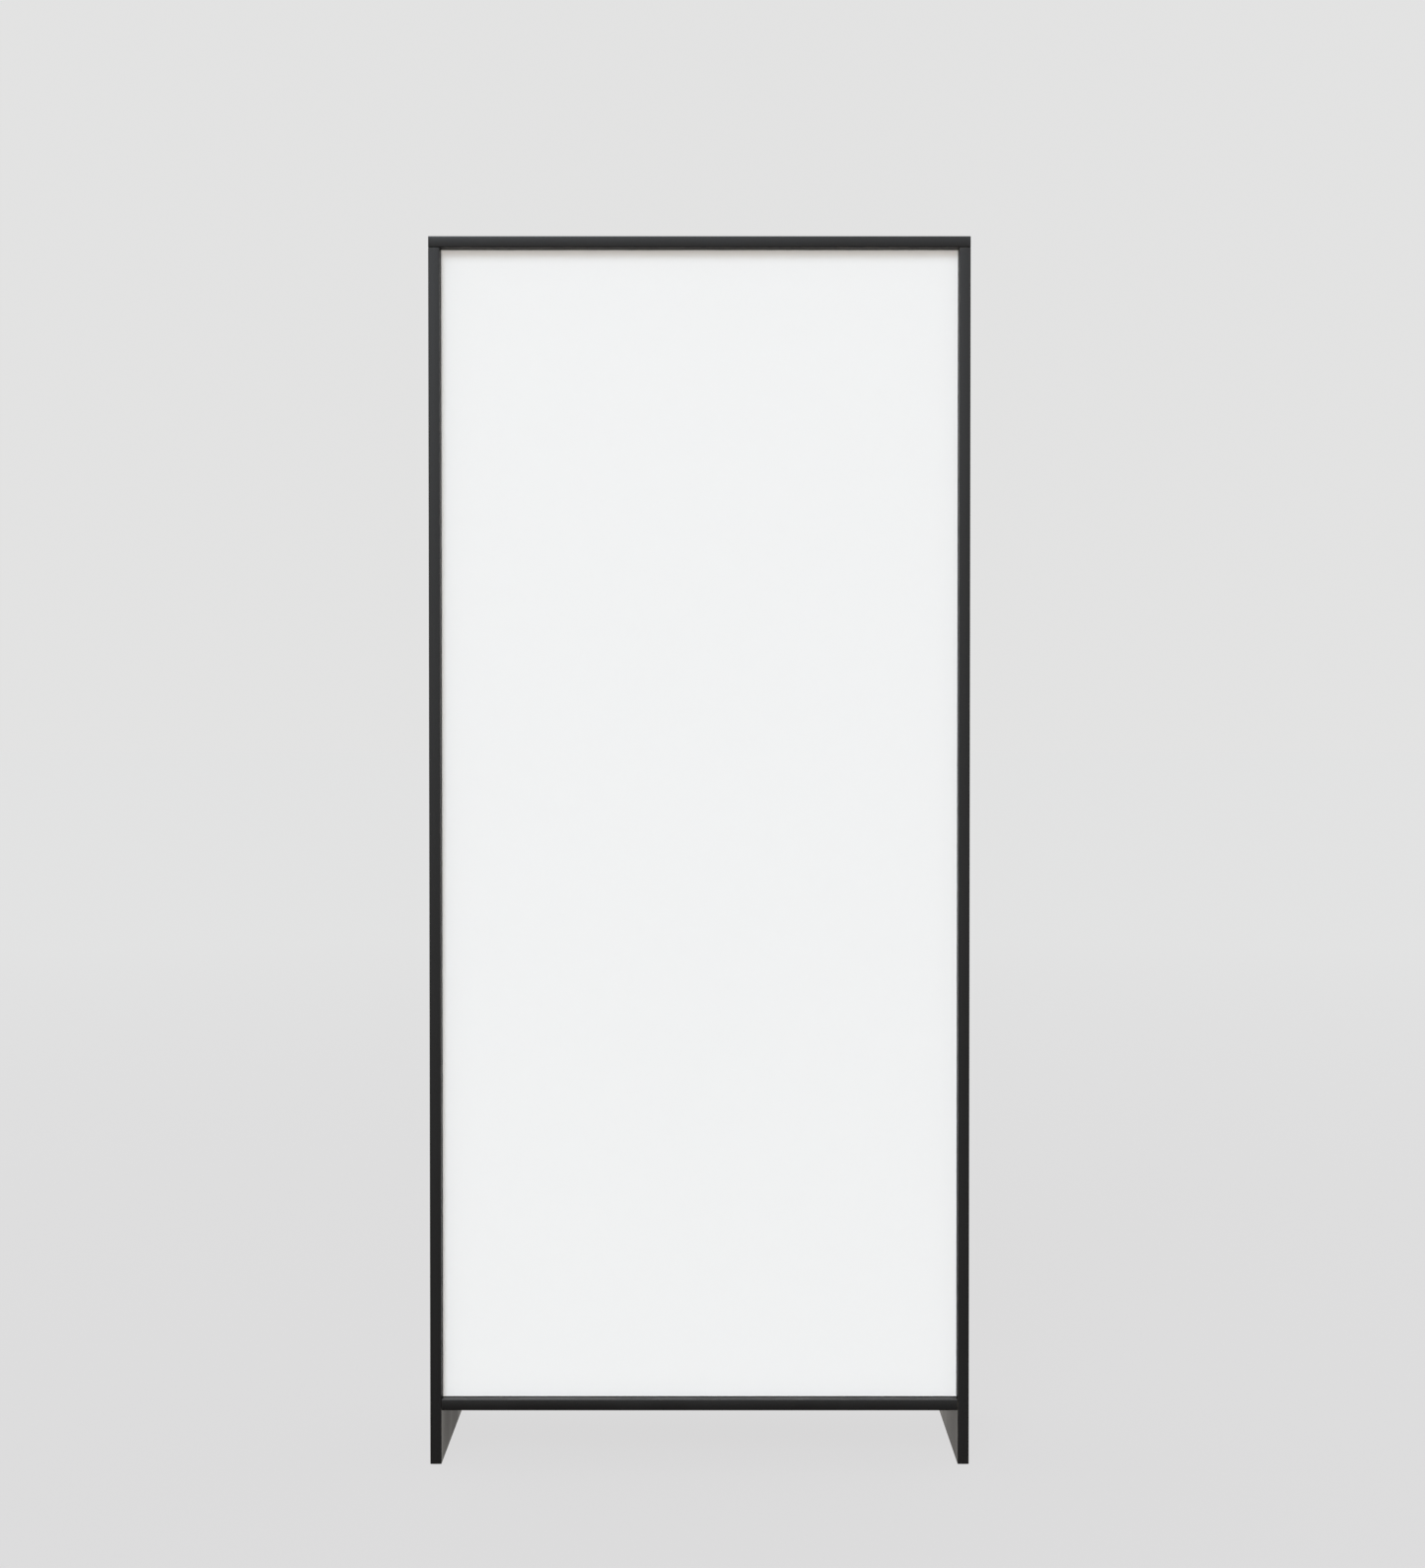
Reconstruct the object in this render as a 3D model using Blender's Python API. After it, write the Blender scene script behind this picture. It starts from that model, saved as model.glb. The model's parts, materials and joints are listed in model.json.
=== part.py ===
"""Free-standing exhibition partition wall: a knock-down box of black boards with a white panel on each face.

Two deep side boards stand on the floor and carry a top board, which caps them, and a bottom board, which is
held between them above the floor. Cam fittings and dowels join the four boards. Three spreader rails tie the
sides together inside, and battens behind each display panel take its push-in clips. A screw leveller is
hidden in the bottom edge of each side, near the front and near the back.

Metres, +Z up, front face towards -Y, origin on the floor under the middle of the wall.
"""

import math

import bmesh
import bpy
from mathutils import Matrix, Vector

# Overall sizes
HEIGHT = 2.500
WIDTH = 1.100
DEPTH = 0.400
BOARD = 0.023  # a 22 mm core with laminate on both faces
UNDER_GAP = 0.110  # floor to the underside of the bottom board
ARRIS = 0.001  # the eased edge of every laminated board
CROWN = 0.0006  # how far the middle of a front or back edge stands proud of its corners

# Display panels
PANEL = 0.016
PANEL_RECESS = 0.021  # from the front edges of the frame to the face of the panel
PANEL_MARGIN = 0.0006  # the gap all round a panel
PANEL_ARRIS = 0.0008

# Battens and spreader rails inside the box
BATTEN_WIDTH = 0.030
BATTEN_DEPTH = 0.030
RAIL = 0.018
RAIL_NAMES = ("lower_rail", "middle_rail", "upper_rail")
RAIL_HOUSING = 0.008  # how deep a rail end goes into a side board
RAIL_HOLE_WIDTH = 0.200
RAIL_HOLE_DEPTH = 0.140
RAIL_HOLE_RADIUS = 0.030
RAIL_HOLE_OFFSET = 0.250  # from the middle of the rail to the middle of a hole

# Cam fittings: a bolt screwed into one board, and a cam let into the other
CAM_RADIUS = 0.0074
CAM_WALL = 0.0020
CAM_FLOOR = 0.0012
CAM_SETBACK = 0.034  # from the joint face to the axis of the cam
CAM_FROM_BATTEN = 0.040  # from the back of a batten to the axis of the cam
CAM_TRAVEL = 170  # degrees from locked to free
BOLT_HEAD_RADIUS = 0.0035
BOLT_HEAD_LENGTH = 0.0026
BOLT_CHAMFER = 0.0008
BOLT_NECK_RADIUS = 0.0020
BOLT_SHANK_RADIUS = 0.0036
BOLT_THREAD_RADIUS = 0.0025
BOLT_THREAD_LENGTH = 0.0107
DRIVER_SLOT_LENGTH = 0.0066
DRIVER_SLOT_WIDTH = 0.0016
DRIVER_SLOT_DEPTH = 0.0040

# Dowels, one in the middle of each joint
DOWEL_RADIUS = 0.0040
DOWEL_DEPTH_IN_FACE = 0.0120
DOWEL_DEPTH_IN_EDGE = 0.0230
DOWEL_CHAMFER = 0.0012
DOWEL_FLUTES = 8
DOWEL_FLUTE_DEPTH = 0.0004

# Levellers, hidden in the bottom edges of the side boards
LEVELLER_INSET = 0.050  # from the front or back edge of the side board
PAD_RADIUS = 0.0080
PAD_HEIGHT = 0.0050
PAD_CHAMFER = 0.0010
PAD_REST_HEIGHT = 0.0005  # wound right in, the pad clears the floor
LIP_RADIUS = 0.0048  # the riveted end of the stem, which holds the pad on
LIP_HEIGHT = 0.0010
LIP_RISE = 0.0008  # from the underside of the pad to the lip
SPIGOT_RADIUS = 0.0036
HEX_ACROSS_FLATS = 0.0130
HEX_HEIGHT = 0.0045
KEY_ACROSS_FLATS = 0.0040  # the socket in the foot of the stem
KEY_DEPTH = 0.0060
STEM_RADIUS = 0.0040
STEM_LENGTH = 0.0320  # above the hexagon
STEM_CHAMFER = 0.0008
INSERT_WALL = 0.0014
INSERT_BARB = 0.0004
INSERT_BARBS = 3
INSERT_LENGTH = 0.0150

# Push-in clips, screwed into the backs of the panels
CLIP_END_INSET = 0.150  # from the end of the panel to the first clip
CLIP_FLANGE_RADIUS = 0.0090
CLIP_FLANGE = 0.0020
CLIP_TAIL_RADIUS = 0.0030
CLIP_TAIL = 0.0090
CLIP_CORE_RADIUS = 0.0036
CLIP_RIB_RADIUS = 0.0053
CLIP_RIB_PITCH = 0.0055
CLIP_RIBS = 3

# Clearances
TOUCH = 0.0003  # between two pieces that meet face to face
LOOSE = 0.0003  # radial, round a piece in its hole
OVERRUN = 0.002  # how far a cutter runs past the face that it opens

# Facets round a full turn
FINE = 20
MEDIUM = 16
COARSE = 10
CROWN_FACETS = 8

# What follows from those
INNER_WIDTH = WIDTH - 2 * BOARD
SIDE_CENTRE = (WIDTH - BOARD) / 2
TOP_UNDERSIDE = HEIGHT - BOARD
BOTTOM_TOP = UNDER_GAP + BOARD
CLEAR_HEIGHT = TOP_UNDERSIDE - BOTTOM_TOP
PANEL_FACE = DEPTH / 2 - PANEL_RECESS
PANEL_BACK = PANEL_FACE - PANEL
BATTEN_BACK = PANEL_BACK - TOUCH - BATTEN_DEPTH
RAIL_SPACING = CLEAR_HEIGHT / (len(RAIL_NAMES) + 1)
RAIL_HEIGHTS = [BOTTOM_TOP + (i + 1) * RAIL_SPACING for i in range(len(RAIL_NAMES))]
CLIP_X = INNER_WIDTH / 2 - TOUCH - BATTEN_WIDTH / 2
CLIP_REACH = CLIP_RIBS * CLIP_RIB_PITCH
CLIP_HEIGHTS = {
    "low": BOTTOM_TOP + CLIP_END_INSET,
    "mid": BOTTOM_TOP + CLEAR_HEIGHT / 2,
    "high": TOP_UNDERSIDE - CLIP_END_INSET,
}
CAM_Y = BATTEN_BACK - CAM_FROM_BATTEN
CAM_CAVITY_RADIUS = CAM_RADIUS - CAM_WALL
CAM_CAVITY_HALF = BOLT_HEAD_RADIUS + LOOSE
CAM_HEIGHT = BOARD / 2 + CAM_CAVITY_HALF + CAM_FLOOR
LEVELLER_Y = DEPTH / 2 - LEVELLER_INSET
PAD_TOP = PAD_REST_HEIGHT + PAD_HEIGHT
LIP_FOOT = PAD_REST_HEIGHT + LIP_RISE
HEX_FOOT = PAD_TOP + TOUCH
HEX_TOP = HEX_FOOT + HEX_HEIGHT
INSERT_FOOT = HEX_TOP + 2 * TOUCH
INSERT_TOP = INSERT_FOOT + INSERT_LENGTH
INSERT_RADIUS = STEM_RADIUS + LOOSE + INSERT_WALL
STEM_TOP = HEX_TOP + STEM_LENGTH
FACES = {"front": -1, "back": 1}
SIDES = {"left": -1, "right": 1}


def clear_scene():
    for found in list(bpy.data.objects):
        bpy.data.objects.remove(found)


def finish(name, colour, roughness, metallic=0.0):
    made = bpy.data.materials.new(name)
    made.use_nodes = True
    shader = made.node_tree.nodes["Principled BSDF"]
    shader.inputs["Base Color"].default_value = (*colour, 1.0)
    shader.inputs["Roughness"].default_value = roughness
    shader.inputs["Metallic"].default_value = metallic
    return made


def place(name, mesh, material=None, location=(0, 0, 0), turn=None):
    """An object of this mesh at a place, turned by a matrix; with no material it is a helper."""
    made = bpy.data.objects.new(name, mesh)
    bpy.context.scene.collection.objects.link(made)
    made.matrix_world = Matrix.Translation(location) @ (turn or Matrix())
    if material:
        mesh.materials.clear()
        mesh.materials.append(material)
    return made


def mesh_of(name, bm, smooth=False):
    bmesh.ops.recalc_face_normals(bm, faces=bm.faces)
    mesh = bpy.data.meshes.new(name)
    bm.to_mesh(mesh)
    bm.free()
    if smooth:
        mesh.shade_smooth()
        mesh.set_sharp_from_angle(angle=math.radians(35))
    return mesh


def block_mesh(name, size):
    """A box of this size, centred."""
    bm = bmesh.new()
    bmesh.ops.create_cube(bm, size=1.0)
    bmesh.ops.scale(bm, verts=bm.verts, vec=size)
    return mesh_of(name, bm)


def block(name, low, high, material=None):
    low, high = Vector(low), Vector(high)
    return place(name, block_mesh(name, high - low), material, (low + high) / 2)


def turned_mesh(name, profile, segments):
    """A lathe shape about Z from (radius, height) points; its ends are on the axis, or it is a closed loop.

    It starts half a facet round, so that flats, not corners, face along X and Y.
    """
    bm = bmesh.new()
    start = Matrix.Rotation(math.pi / segments, 3, "Z")
    points = [bm.verts.new(start @ Vector((radius, 0, height))) for radius, height in profile]
    edges = [bm.edges.new(pair) for pair in zip(points, points[1:])]
    if profile[0][0] > 0:
        edges.append(bm.edges.new((points[-1], points[0])))
    axis = {"axis": (0, 0, 1), "cent": (0, 0, 0)}
    bmesh.ops.spin(bm, geom=points + edges, angle=math.tau, steps=segments, use_merge=True, **axis)
    bmesh.ops.remove_doubles(bm, verts=bm.verts, dist=1e-6)
    return mesh_of(name, bm, smooth=True)


def rod_mesh(name, radius, foot, top, segments=MEDIUM):
    """A cylinder about Z from foot to top."""
    return turned_mesh(name, [(0, foot), (radius, foot), (radius, top), (0, top)], segments)


def prism_mesh(name, outline, foot, top):
    """An outline in X and Y, extruded from foot to top."""
    bm = bmesh.new()
    face = bm.faces.new([bm.verts.new((x, y, foot)) for x, y in outline])
    raised = bmesh.ops.extrude_face_region(bm, geom=[face])["geom"]
    corners = [part for part in raised if isinstance(part, bmesh.types.BMVert)]
    bmesh.ops.translate(bm, verts=corners, vec=(0, 0, top - foot))
    return mesh_of(name, bm)


def arc(radius, start, end, steps):
    """Points on an arc about the origin; angles in degrees."""
    turns = [math.radians(start + (end - start) * i / steps) for i in range(steps + 1)]
    return [(radius * math.cos(t), radius * math.sin(t)) for t in turns]


def hexagon(across_flats):
    return arc(across_flats / math.sqrt(3), 0, 300, 5)


def board_mesh(name, length):
    """A laminated board along Z, as thick in X as the boards are and as deep in Y as the wall is.

    The front and back edges are lipped with a strip whose face is slightly crowned.
    """
    half = BOARD / 2
    radius = (half**2 + CROWN**2) / (2 * CROWN)
    spread = math.degrees(math.asin(half / radius))
    crest = arc(radius, 90 - spread, 90 + spread, CROWN_FACETS)
    back = [(x, y - radius + DEPTH / 2) for x, y in crest]
    outline = back + [(-x, -y) for x, y in back]
    return prism_mesh(name, outline, -length / 2, length / 2)


def ease_edges(target, width):
    bevel = target.modifiers.new("eased edges", "BEVEL")
    bevel.width = width
    bevel.segments = 2
    bevel.limit_method = "ANGLE"


def combine(target, other, operation="DIFFERENCE"):
    """Cuts the helper out of the target, or joins the two; the helper itself is left out of the model."""
    other.hide_render = True
    other.display_type = "WIRE"
    boolean = target.modifiers.new(other.name, "BOOLEAN")
    boolean.operation = operation
    boolean.solver = "EXACT"
    boolean.object = other


def turned_towards(direction):
    """The turn that points local Z this way."""
    return Vector(direction).to_track_quat("Z", "Y").to_matrix().to_4x4()


def bore(target, radius, mouth, direction, depth, segments=MEDIUM):
    """A round hole from a point on a face, running into the board."""
    mesh = rod_mesh("bore", radius, -OVERRUN, depth, segments)
    combine(target, place("bore", mesh, location=mouth, turn=turned_towards(direction)))


def top_joint(side, y):
    """A point on the joint of a side board with the top board, and the way into the side board's edge."""
    return Vector((side * SIDE_CENTRE, y, TOP_UNDERSIDE)), Vector((0, 0, -1))


def bottom_joint(side, y):
    """A point on the joint of the bottom board with a side board, and the way into the bottom board's end."""
    return Vector((side * INNER_WIDTH / 2, y, UNDER_GAP + BOARD / 2)), Vector((-side, 0, 0))


def cam_turn(side, joint):
    """Local X along the bolt, from the cam to the joint, and local Z out of the board that holds the cam."""
    if joint is top_joint:
        along, out = Vector((0, 0, 1)), Vector((-side, 0, 0))
    else:
        along, out = Vector((side, 0, 0)), Vector((0, 0, 1))
    return Matrix((along, out.cross(along), out)).transposed().to_4x4()


def corner_joints():
    for level, joint in (("top", top_joint), ("bottom", bottom_joint)):
        for hand, side in SIDES.items():
            yield level, hand, side, joint


def cam_places():
    """The end of the name, the centre of the cam on its bolt's axis, and the cam's turn, for all eight."""
    for level, hand, side, joint in corner_joints():
        for face, facing in FACES.items():
            mouth, inwards = joint(side, facing * CAM_Y)
            yield f"{level}_{face}_{hand}", mouth + inwards * CAM_SETBACK, cam_turn(side, joint)


def cut_joint(edge_board, face_board, side, joint):
    """The holes of one joint: the cams and half the bolts and dowel in one board, the rest in the other."""
    turn = cam_turn(side, joint)
    out = turn.to_3x3() @ Vector((0, 0, 1))
    for facing in FACES.values():
        mouth, inwards = joint(side, facing * CAM_Y)
        face = mouth + inwards * CAM_SETBACK + out * BOARD / 2
        bore(edge_board, BOLT_SHANK_RADIUS + 2 * LOOSE, mouth, inwards, CAM_SETBACK, COARSE)
        bore(edge_board, CAM_RADIUS + LOOSE, face, -out, CAM_HEIGHT + TOUCH, FINE)
        bore(face_board, BOLT_THREAD_RADIUS + LOOSE, mouth, -inwards, BOLT_THREAD_LENGTH + TOUCH, COARSE)
    mouth, inwards = joint(side, 0)
    bore(edge_board, DOWEL_RADIUS + LOOSE, mouth, inwards, DOWEL_DEPTH_IN_EDGE + TOUCH)
    bore(face_board, DOWEL_RADIUS + LOOSE, mouth, -inwards, DOWEL_DEPTH_IN_FACE + TOUCH)


def add_cams(zinc):
    """Eight cams, locked: the slot in the wall holds the bolt's neck, and the wide mouth is turned away.

    Each turns anticlockwise, seen from its slotted face, until the mouth meets the bolt's head.
    """
    depth = -BOARD / 2
    neck_half = BOLT_NECK_RADIUS + LOOSE
    neck_angle = math.degrees(math.asin(neck_half / CAM_CAVITY_RADIUS))
    mouth_angle = math.degrees(math.asin(CAM_CAVITY_HALF / (CAM_RADIUS - CAM_WALL / 2)))

    def wall_cutter(name, start, end, half, steps):
        outline = arc(CAM_RADIUS + OVERRUN, start, end, steps) + arc(CAM_CAVITY_RADIUS / 2, end, start, steps)
        return prism_mesh(name, outline, depth - half, depth + half)

    body = rod_mesh("cam", CAM_RADIUS, -CAM_HEIGHT, -TOUCH, FINE)
    cavity = rod_mesh(
        "cam cavity", CAM_CAVITY_RADIUS, depth - CAM_CAVITY_HALF, depth + CAM_CAVITY_HALF, MEDIUM
    )
    slot = wall_cutter("cam slot", -CAM_TRAVEL, neck_angle, neck_half, 8)
    mouth = wall_cutter("cam mouth", -CAM_TRAVEL - mouth_angle, -CAM_TRAVEL + mouth_angle, CAM_CAVITY_HALF, 4)
    cross = block_mesh("driver slot", (DRIVER_SLOT_LENGTH, DRIVER_SLOT_WIDTH, 2 * DRIVER_SLOT_DEPTH))
    for ending, centre, turn in cam_places():
        face = centre + turn.to_3x3() @ Vector((0, 0, BOARD / 2))
        cam = place(f"cam_{ending}", body, zinc, face, turn)
        for cutter in (slot, mouth, cavity):
            combine(cam, place(cutter.name, cutter, location=face, turn=turn))
        for angle in (0, 90):
            quarter = turn @ Matrix.Rotation(math.radians(angle), 4, "Z")
            combine(cam, place("driver slot", cross, location=face, turn=quarter))


def add_bolts(steel):
    """The bolt of each cam: its head bears on the cam's wall, and its thread is in the other board."""
    head_back = math.sqrt(CAM_CAVITY_RADIUS**2 - BOLT_HEAD_RADIUS**2) - LOOSE
    head_front = head_back - BOLT_HEAD_LENGTH
    shank_start = CAM_RADIUS + 2 * LOOSE
    thread_start = CAM_SETBACK - TOUCH
    thread_end = CAM_SETBACK + BOLT_THREAD_LENGTH
    profile = [
        (0, head_front),
        (BOLT_HEAD_RADIUS - BOLT_CHAMFER, head_front),
        (BOLT_HEAD_RADIUS, head_front + BOLT_CHAMFER),
        (BOLT_HEAD_RADIUS, head_back),
        (BOLT_NECK_RADIUS, head_back),
        (BOLT_NECK_RADIUS, shank_start),
        (BOLT_SHANK_RADIUS, shank_start),
        (BOLT_SHANK_RADIUS, thread_start),
        (BOLT_THREAD_RADIUS, thread_start),
        (BOLT_THREAD_RADIUS, thread_end - BOLT_CHAMFER),
        (BOLT_THREAD_RADIUS - BOLT_CHAMFER, thread_end),
        (0, thread_end),
    ]
    mesh = turned_mesh("bolt", profile, COARSE)
    along_x = Matrix.Rotation(math.pi / 2, 4, "Y")
    for ending, centre, turn in cam_places():
        place(f"bolt_{ending}", mesh, steel, centre, turn @ along_x)


def add_dowels(beech):
    """A fluted dowel in the middle of each joint."""
    low, high = -DOWEL_DEPTH_IN_FACE, DOWEL_DEPTH_IN_EDGE
    heights = (low, low + DOWEL_CHAMFER, high - DOWEL_CHAMFER, high)
    insets = (DOWEL_CHAMFER, 0, 0, DOWEL_CHAMFER)
    bm = bmesh.new()
    rings = []
    for height, inset in zip(heights, insets):
        ridge = DOWEL_RADIUS - inset
        flutes = [(ridge, ridge - DOWEL_FLUTE_DEPTH)[i % 2] for i in range(2 * DOWEL_FLUTES)]
        turns = [math.pi * i / DOWEL_FLUTES for i in range(2 * DOWEL_FLUTES)]
        ring = [bm.verts.new((r * math.cos(t), r * math.sin(t), height)) for r, t in zip(flutes, turns)]
        rings.append(ring)
    for lower, upper in zip(rings, rings[1:]):
        for i in range(len(lower)):
            bm.faces.new((lower[i - 1], lower[i], upper[i], upper[i - 1]))
    bm.faces.new(rings[0])
    bm.faces.new(rings[-1])
    mesh = mesh_of("dowel", bm)
    for level, hand, side, joint in corner_joints():
        mouth, inwards = joint(side, 0)
        place(f"dowel_{level}_{hand}", mesh, beech, mouth, turned_towards(inwards))


def add_frame(laminate):
    """The four boards, with every hole and housing that the fittings need."""
    along_x = Matrix.Rotation(math.pi / 2, 4, "Y")
    side_length = TOP_UNDERSIDE - TOUCH
    top_mesh = board_mesh("top_board", WIDTH)
    bottom_mesh = board_mesh("bottom_board", INNER_WIDTH - 2 * TOUCH)
    top = place("top_board", top_mesh, laminate, (0, 0, HEIGHT - BOARD / 2), along_x)
    bottom = place("bottom_board", bottom_mesh, laminate, (0, 0, UNDER_GAP + BOARD / 2), along_x)
    ease_edges(top, ARRIS)
    ease_edges(bottom, ARRIS)
    for hand, side in SIDES.items():
        side_mesh = board_mesh(f"{hand}_side", side_length)
        board = place(f"{hand}_side", side_mesh, laminate, (side * SIDE_CENTRE, 0, side_length / 2))
        ease_edges(board, ARRIS)
        cut_joint(board, top, side, top_joint)
        cut_joint(bottom, board, side, bottom_joint)
        cut_rail_housings(board, side)
        for facing in FACES.values():
            cut_leveller_pocket(board, side, facing)


def cut_rail_housings(board, side):
    across = sorted((side * (INNER_WIDTH / 2 - OVERRUN), side * (INNER_WIDTH / 2 + RAIL_HOUSING)))
    half = RAIL / 2 + TOUCH
    for height in RAIL_HEIGHTS:
        low = (across[0], -BATTEN_BACK, height - half)
        high = (across[1], BATTEN_BACK, height + half)
        combine(board, block("rail housing", low, high))


def cut_leveller_pocket(board, side, facing):
    """A stepped hole up from the bottom edge: for the pad and hexagon, then the insert, then the stem."""
    wide = max(PAD_RADIUS, HEX_ACROSS_FLATS / math.sqrt(3)) + LOOSE
    insert = INSERT_RADIUS + LOOSE
    stem = STEM_RADIUS + 2 * LOOSE
    profile = [
        (0, -OVERRUN),
        (wide, -OVERRUN),
        (wide, INSERT_FOOT - TOUCH),
        (insert, INSERT_FOOT - TOUCH),
        (insert, INSERT_TOP + TOUCH),
        (stem, INSERT_TOP + TOUCH),
        (stem, STEM_TOP + OVERRUN),
        (0, STEM_TOP + OVERRUN),
    ]
    pocket = turned_mesh("leveller pocket", profile, FINE)
    combine(board, place("leveller pocket", pocket, location=(side * SIDE_CENTRE, facing * LEVELLER_Y, 0)))


def leveller_pad_mesh():
    """A ring round the spigot, with a recess underneath for the riveted lip."""
    hole = SPIGOT_RADIUS + LOOSE
    recess = LIP_RADIUS + LOOSE
    recess_top = LIP_FOOT + LIP_HEIGHT + TOUCH
    profile = [
        (hole, PAD_TOP),
        (hole, recess_top),
        (recess, recess_top),
        (recess, PAD_REST_HEIGHT),
        (PAD_RADIUS - PAD_CHAMFER, PAD_REST_HEIGHT),
        (PAD_RADIUS, PAD_REST_HEIGHT + PAD_CHAMFER),
        (PAD_RADIUS, PAD_TOP),
    ]
    return turned_mesh("leveller pad", profile, MEDIUM)


def leveller_stem_mesh():
    """Lip, spigot and screw in one; the hexagon is joined to it."""
    middle = (HEX_FOOT + HEX_TOP) / 2
    profile = [
        (0, LIP_FOOT),
        (LIP_RADIUS, LIP_FOOT),
        (LIP_RADIUS, LIP_FOOT + LIP_HEIGHT),
        (SPIGOT_RADIUS, LIP_FOOT + LIP_HEIGHT),
        (SPIGOT_RADIUS, middle),
        (STEM_RADIUS, middle),
        (STEM_RADIUS, STEM_TOP - STEM_CHAMFER),
        (STEM_RADIUS - STEM_CHAMFER, STEM_TOP),
        (0, STEM_TOP),
    ]
    return turned_mesh("leveller stem", profile, MEDIUM)


def leveller_insert_mesh():
    """A sleeve with barbs that grip the board as it is pressed in."""
    inner = STEM_RADIUS + LOOSE
    pitch = INSERT_LENGTH / INSERT_BARBS
    profile = [(inner, INSERT_TOP), (inner, INSERT_FOOT)]
    for i in range(INSERT_BARBS):
        profile.append((INSERT_RADIUS, INSERT_FOOT + i * pitch))
        profile.append((INSERT_RADIUS - INSERT_BARB, INSERT_FOOT + (i + 1) * pitch))
    return turned_mesh("leveller insert", profile, MEDIUM)


def add_levellers(steel, nylon, zinc):
    """The insert is fixed, the stem turns in it, and the pad turns on the spigot and so stays still."""
    pad = leveller_pad_mesh()
    stem_body = leveller_stem_mesh()
    insert = leveller_insert_mesh()
    nut = prism_mesh("leveller hexagon", hexagon(HEX_ACROSS_FLATS), HEX_FOOT, HEX_TOP)
    key = prism_mesh("leveller key", hexagon(KEY_ACROSS_FLATS), LIP_FOOT - OVERRUN, LIP_FOOT + KEY_DEPTH)
    for face, facing in FACES.items():
        for hand, side in SIDES.items():
            where = (side * SIDE_CENTRE, facing * LEVELLER_Y, 0)
            place(f"leveller_pad_{face}_{hand}", pad, nylon, where)
            place(f"leveller_insert_{face}_{hand}", insert, zinc, where)
            stem = place(f"leveller_stem_{face}_{hand}", stem_body, steel, where)
            combine(stem, place("leveller hexagon", nut, location=where), "UNION")
            combine(stem, place("leveller key", key, location=where))


def add_rails(plywood):
    """Spreader rails, evenly spaced: the ends sit in the side boards, and the corners clear the battens."""
    reach = INNER_WIDTH / 2 + RAIL_HOUSING - TOUCH
    shoulder = INNER_WIDTH / 2 - BATTEN_WIDTH - 2 * TOUCH
    deep = PANEL_BACK - TOUCH
    tongue = BATTEN_BACK - TOUCH
    quarter = [(reach, tongue), (shoulder, tongue), (shoulder, deep)]
    outline = quarter + [(-x, y) for x, y in reversed(quarter)]
    outline += [(-x, -y) for x, y in quarter] + [(x, -y) for x, y in reversed(quarter)]
    corner_x = RAIL_HOLE_WIDTH / 2 - RAIL_HOLE_RADIUS
    corner_y = RAIL_HOLE_DEPTH / 2 - RAIL_HOLE_RADIUS
    hole = []
    for i, (x, y) in enumerate(((1, 1), (-1, 1), (-1, -1), (1, -1))):
        turn = arc(RAIL_HOLE_RADIUS, 90 * i, 90 * i + 90, 4)
        hole += [(x * corner_x + dx, y * corner_y + dy) for dx, dy in turn]
    board = prism_mesh("rail", outline, -RAIL / 2, RAIL / 2)
    hole_mesh = prism_mesh("rail hole", hole, -RAIL / 2 - OVERRUN, RAIL / 2 + OVERRUN)
    for name, height in zip(RAIL_NAMES, RAIL_HEIGHTS):
        rail = place(name, board, plywood, (0, 0, height))
        for side in SIDES.values():
            where = (side * RAIL_HOLE_OFFSET, 0, height)
            combine(rail, place("rail hole", hole_mesh, location=where))


def add_battens(pine):
    """A batten in each corner of the box, from the bottom board to the top board, bored for the clips."""
    for face, facing in FACES.items():
        near = facing * (PANEL_BACK - TOUCH)
        deep = sorted((near, facing * BATTEN_BACK))
        for hand, side in SIDES.items():
            outer = side * (INNER_WIDTH / 2 - TOUCH)
            across = sorted((outer, outer - side * BATTEN_WIDTH))
            low = (across[0], deep[0], BOTTOM_TOP + TOUCH)
            high = (across[1], deep[1], TOP_UNDERSIDE - TOUCH)
            batten = block(f"batten_{face}_{hand}", low, high, pine)
            ease_edges(batten, ARRIS)
            for height in CLIP_HEIGHTS.values():
                mouth = (side * CLIP_X, near, height)
                bore(batten, CLIP_RIB_RADIUS + LOOSE, mouth, (0, -facing, 0), CLIP_REACH + TOUCH)


def clip_mesh():
    """Turned about Z, which runs into the batten: a screw tail, a flange, then ribs that taper to the tip."""
    profile = [
        (0, -CLIP_FLANGE - CLIP_TAIL),
        (CLIP_TAIL_RADIUS, -CLIP_FLANGE - CLIP_TAIL),
        (CLIP_TAIL_RADIUS, -CLIP_FLANGE),
        (CLIP_FLANGE_RADIUS, -CLIP_FLANGE),
        (CLIP_FLANGE_RADIUS, 0),
        (CLIP_CORE_RADIUS, 0),
    ]
    for i in range(CLIP_RIBS):
        foot = (i + 0.4) * CLIP_RIB_PITCH
        profile.append((CLIP_CORE_RADIUS, foot))
        profile.append((CLIP_RIB_RADIUS, foot))
        profile.append((CLIP_CORE_RADIUS, foot + CLIP_RIB_PITCH / 2))
    profile.append((0, CLIP_REACH - TOUCH))
    return turned_mesh("panel clip", profile, COARSE)


def clip_socket_mesh():
    """The stepped hole in the back of a panel, for a clip's flange and tail; Z runs into the panel."""
    flange = CLIP_FLANGE_RADIUS + LOOSE
    tail = CLIP_TAIL_RADIUS + LOOSE
    step = CLIP_FLANGE + TOUCH
    end = step + CLIP_TAIL
    profile = [(0, -OVERRUN), (flange, -OVERRUN), (flange, step), (tail, step), (tail, end), (0, end)]
    return turned_mesh("clip socket", profile, COARSE)


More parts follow.
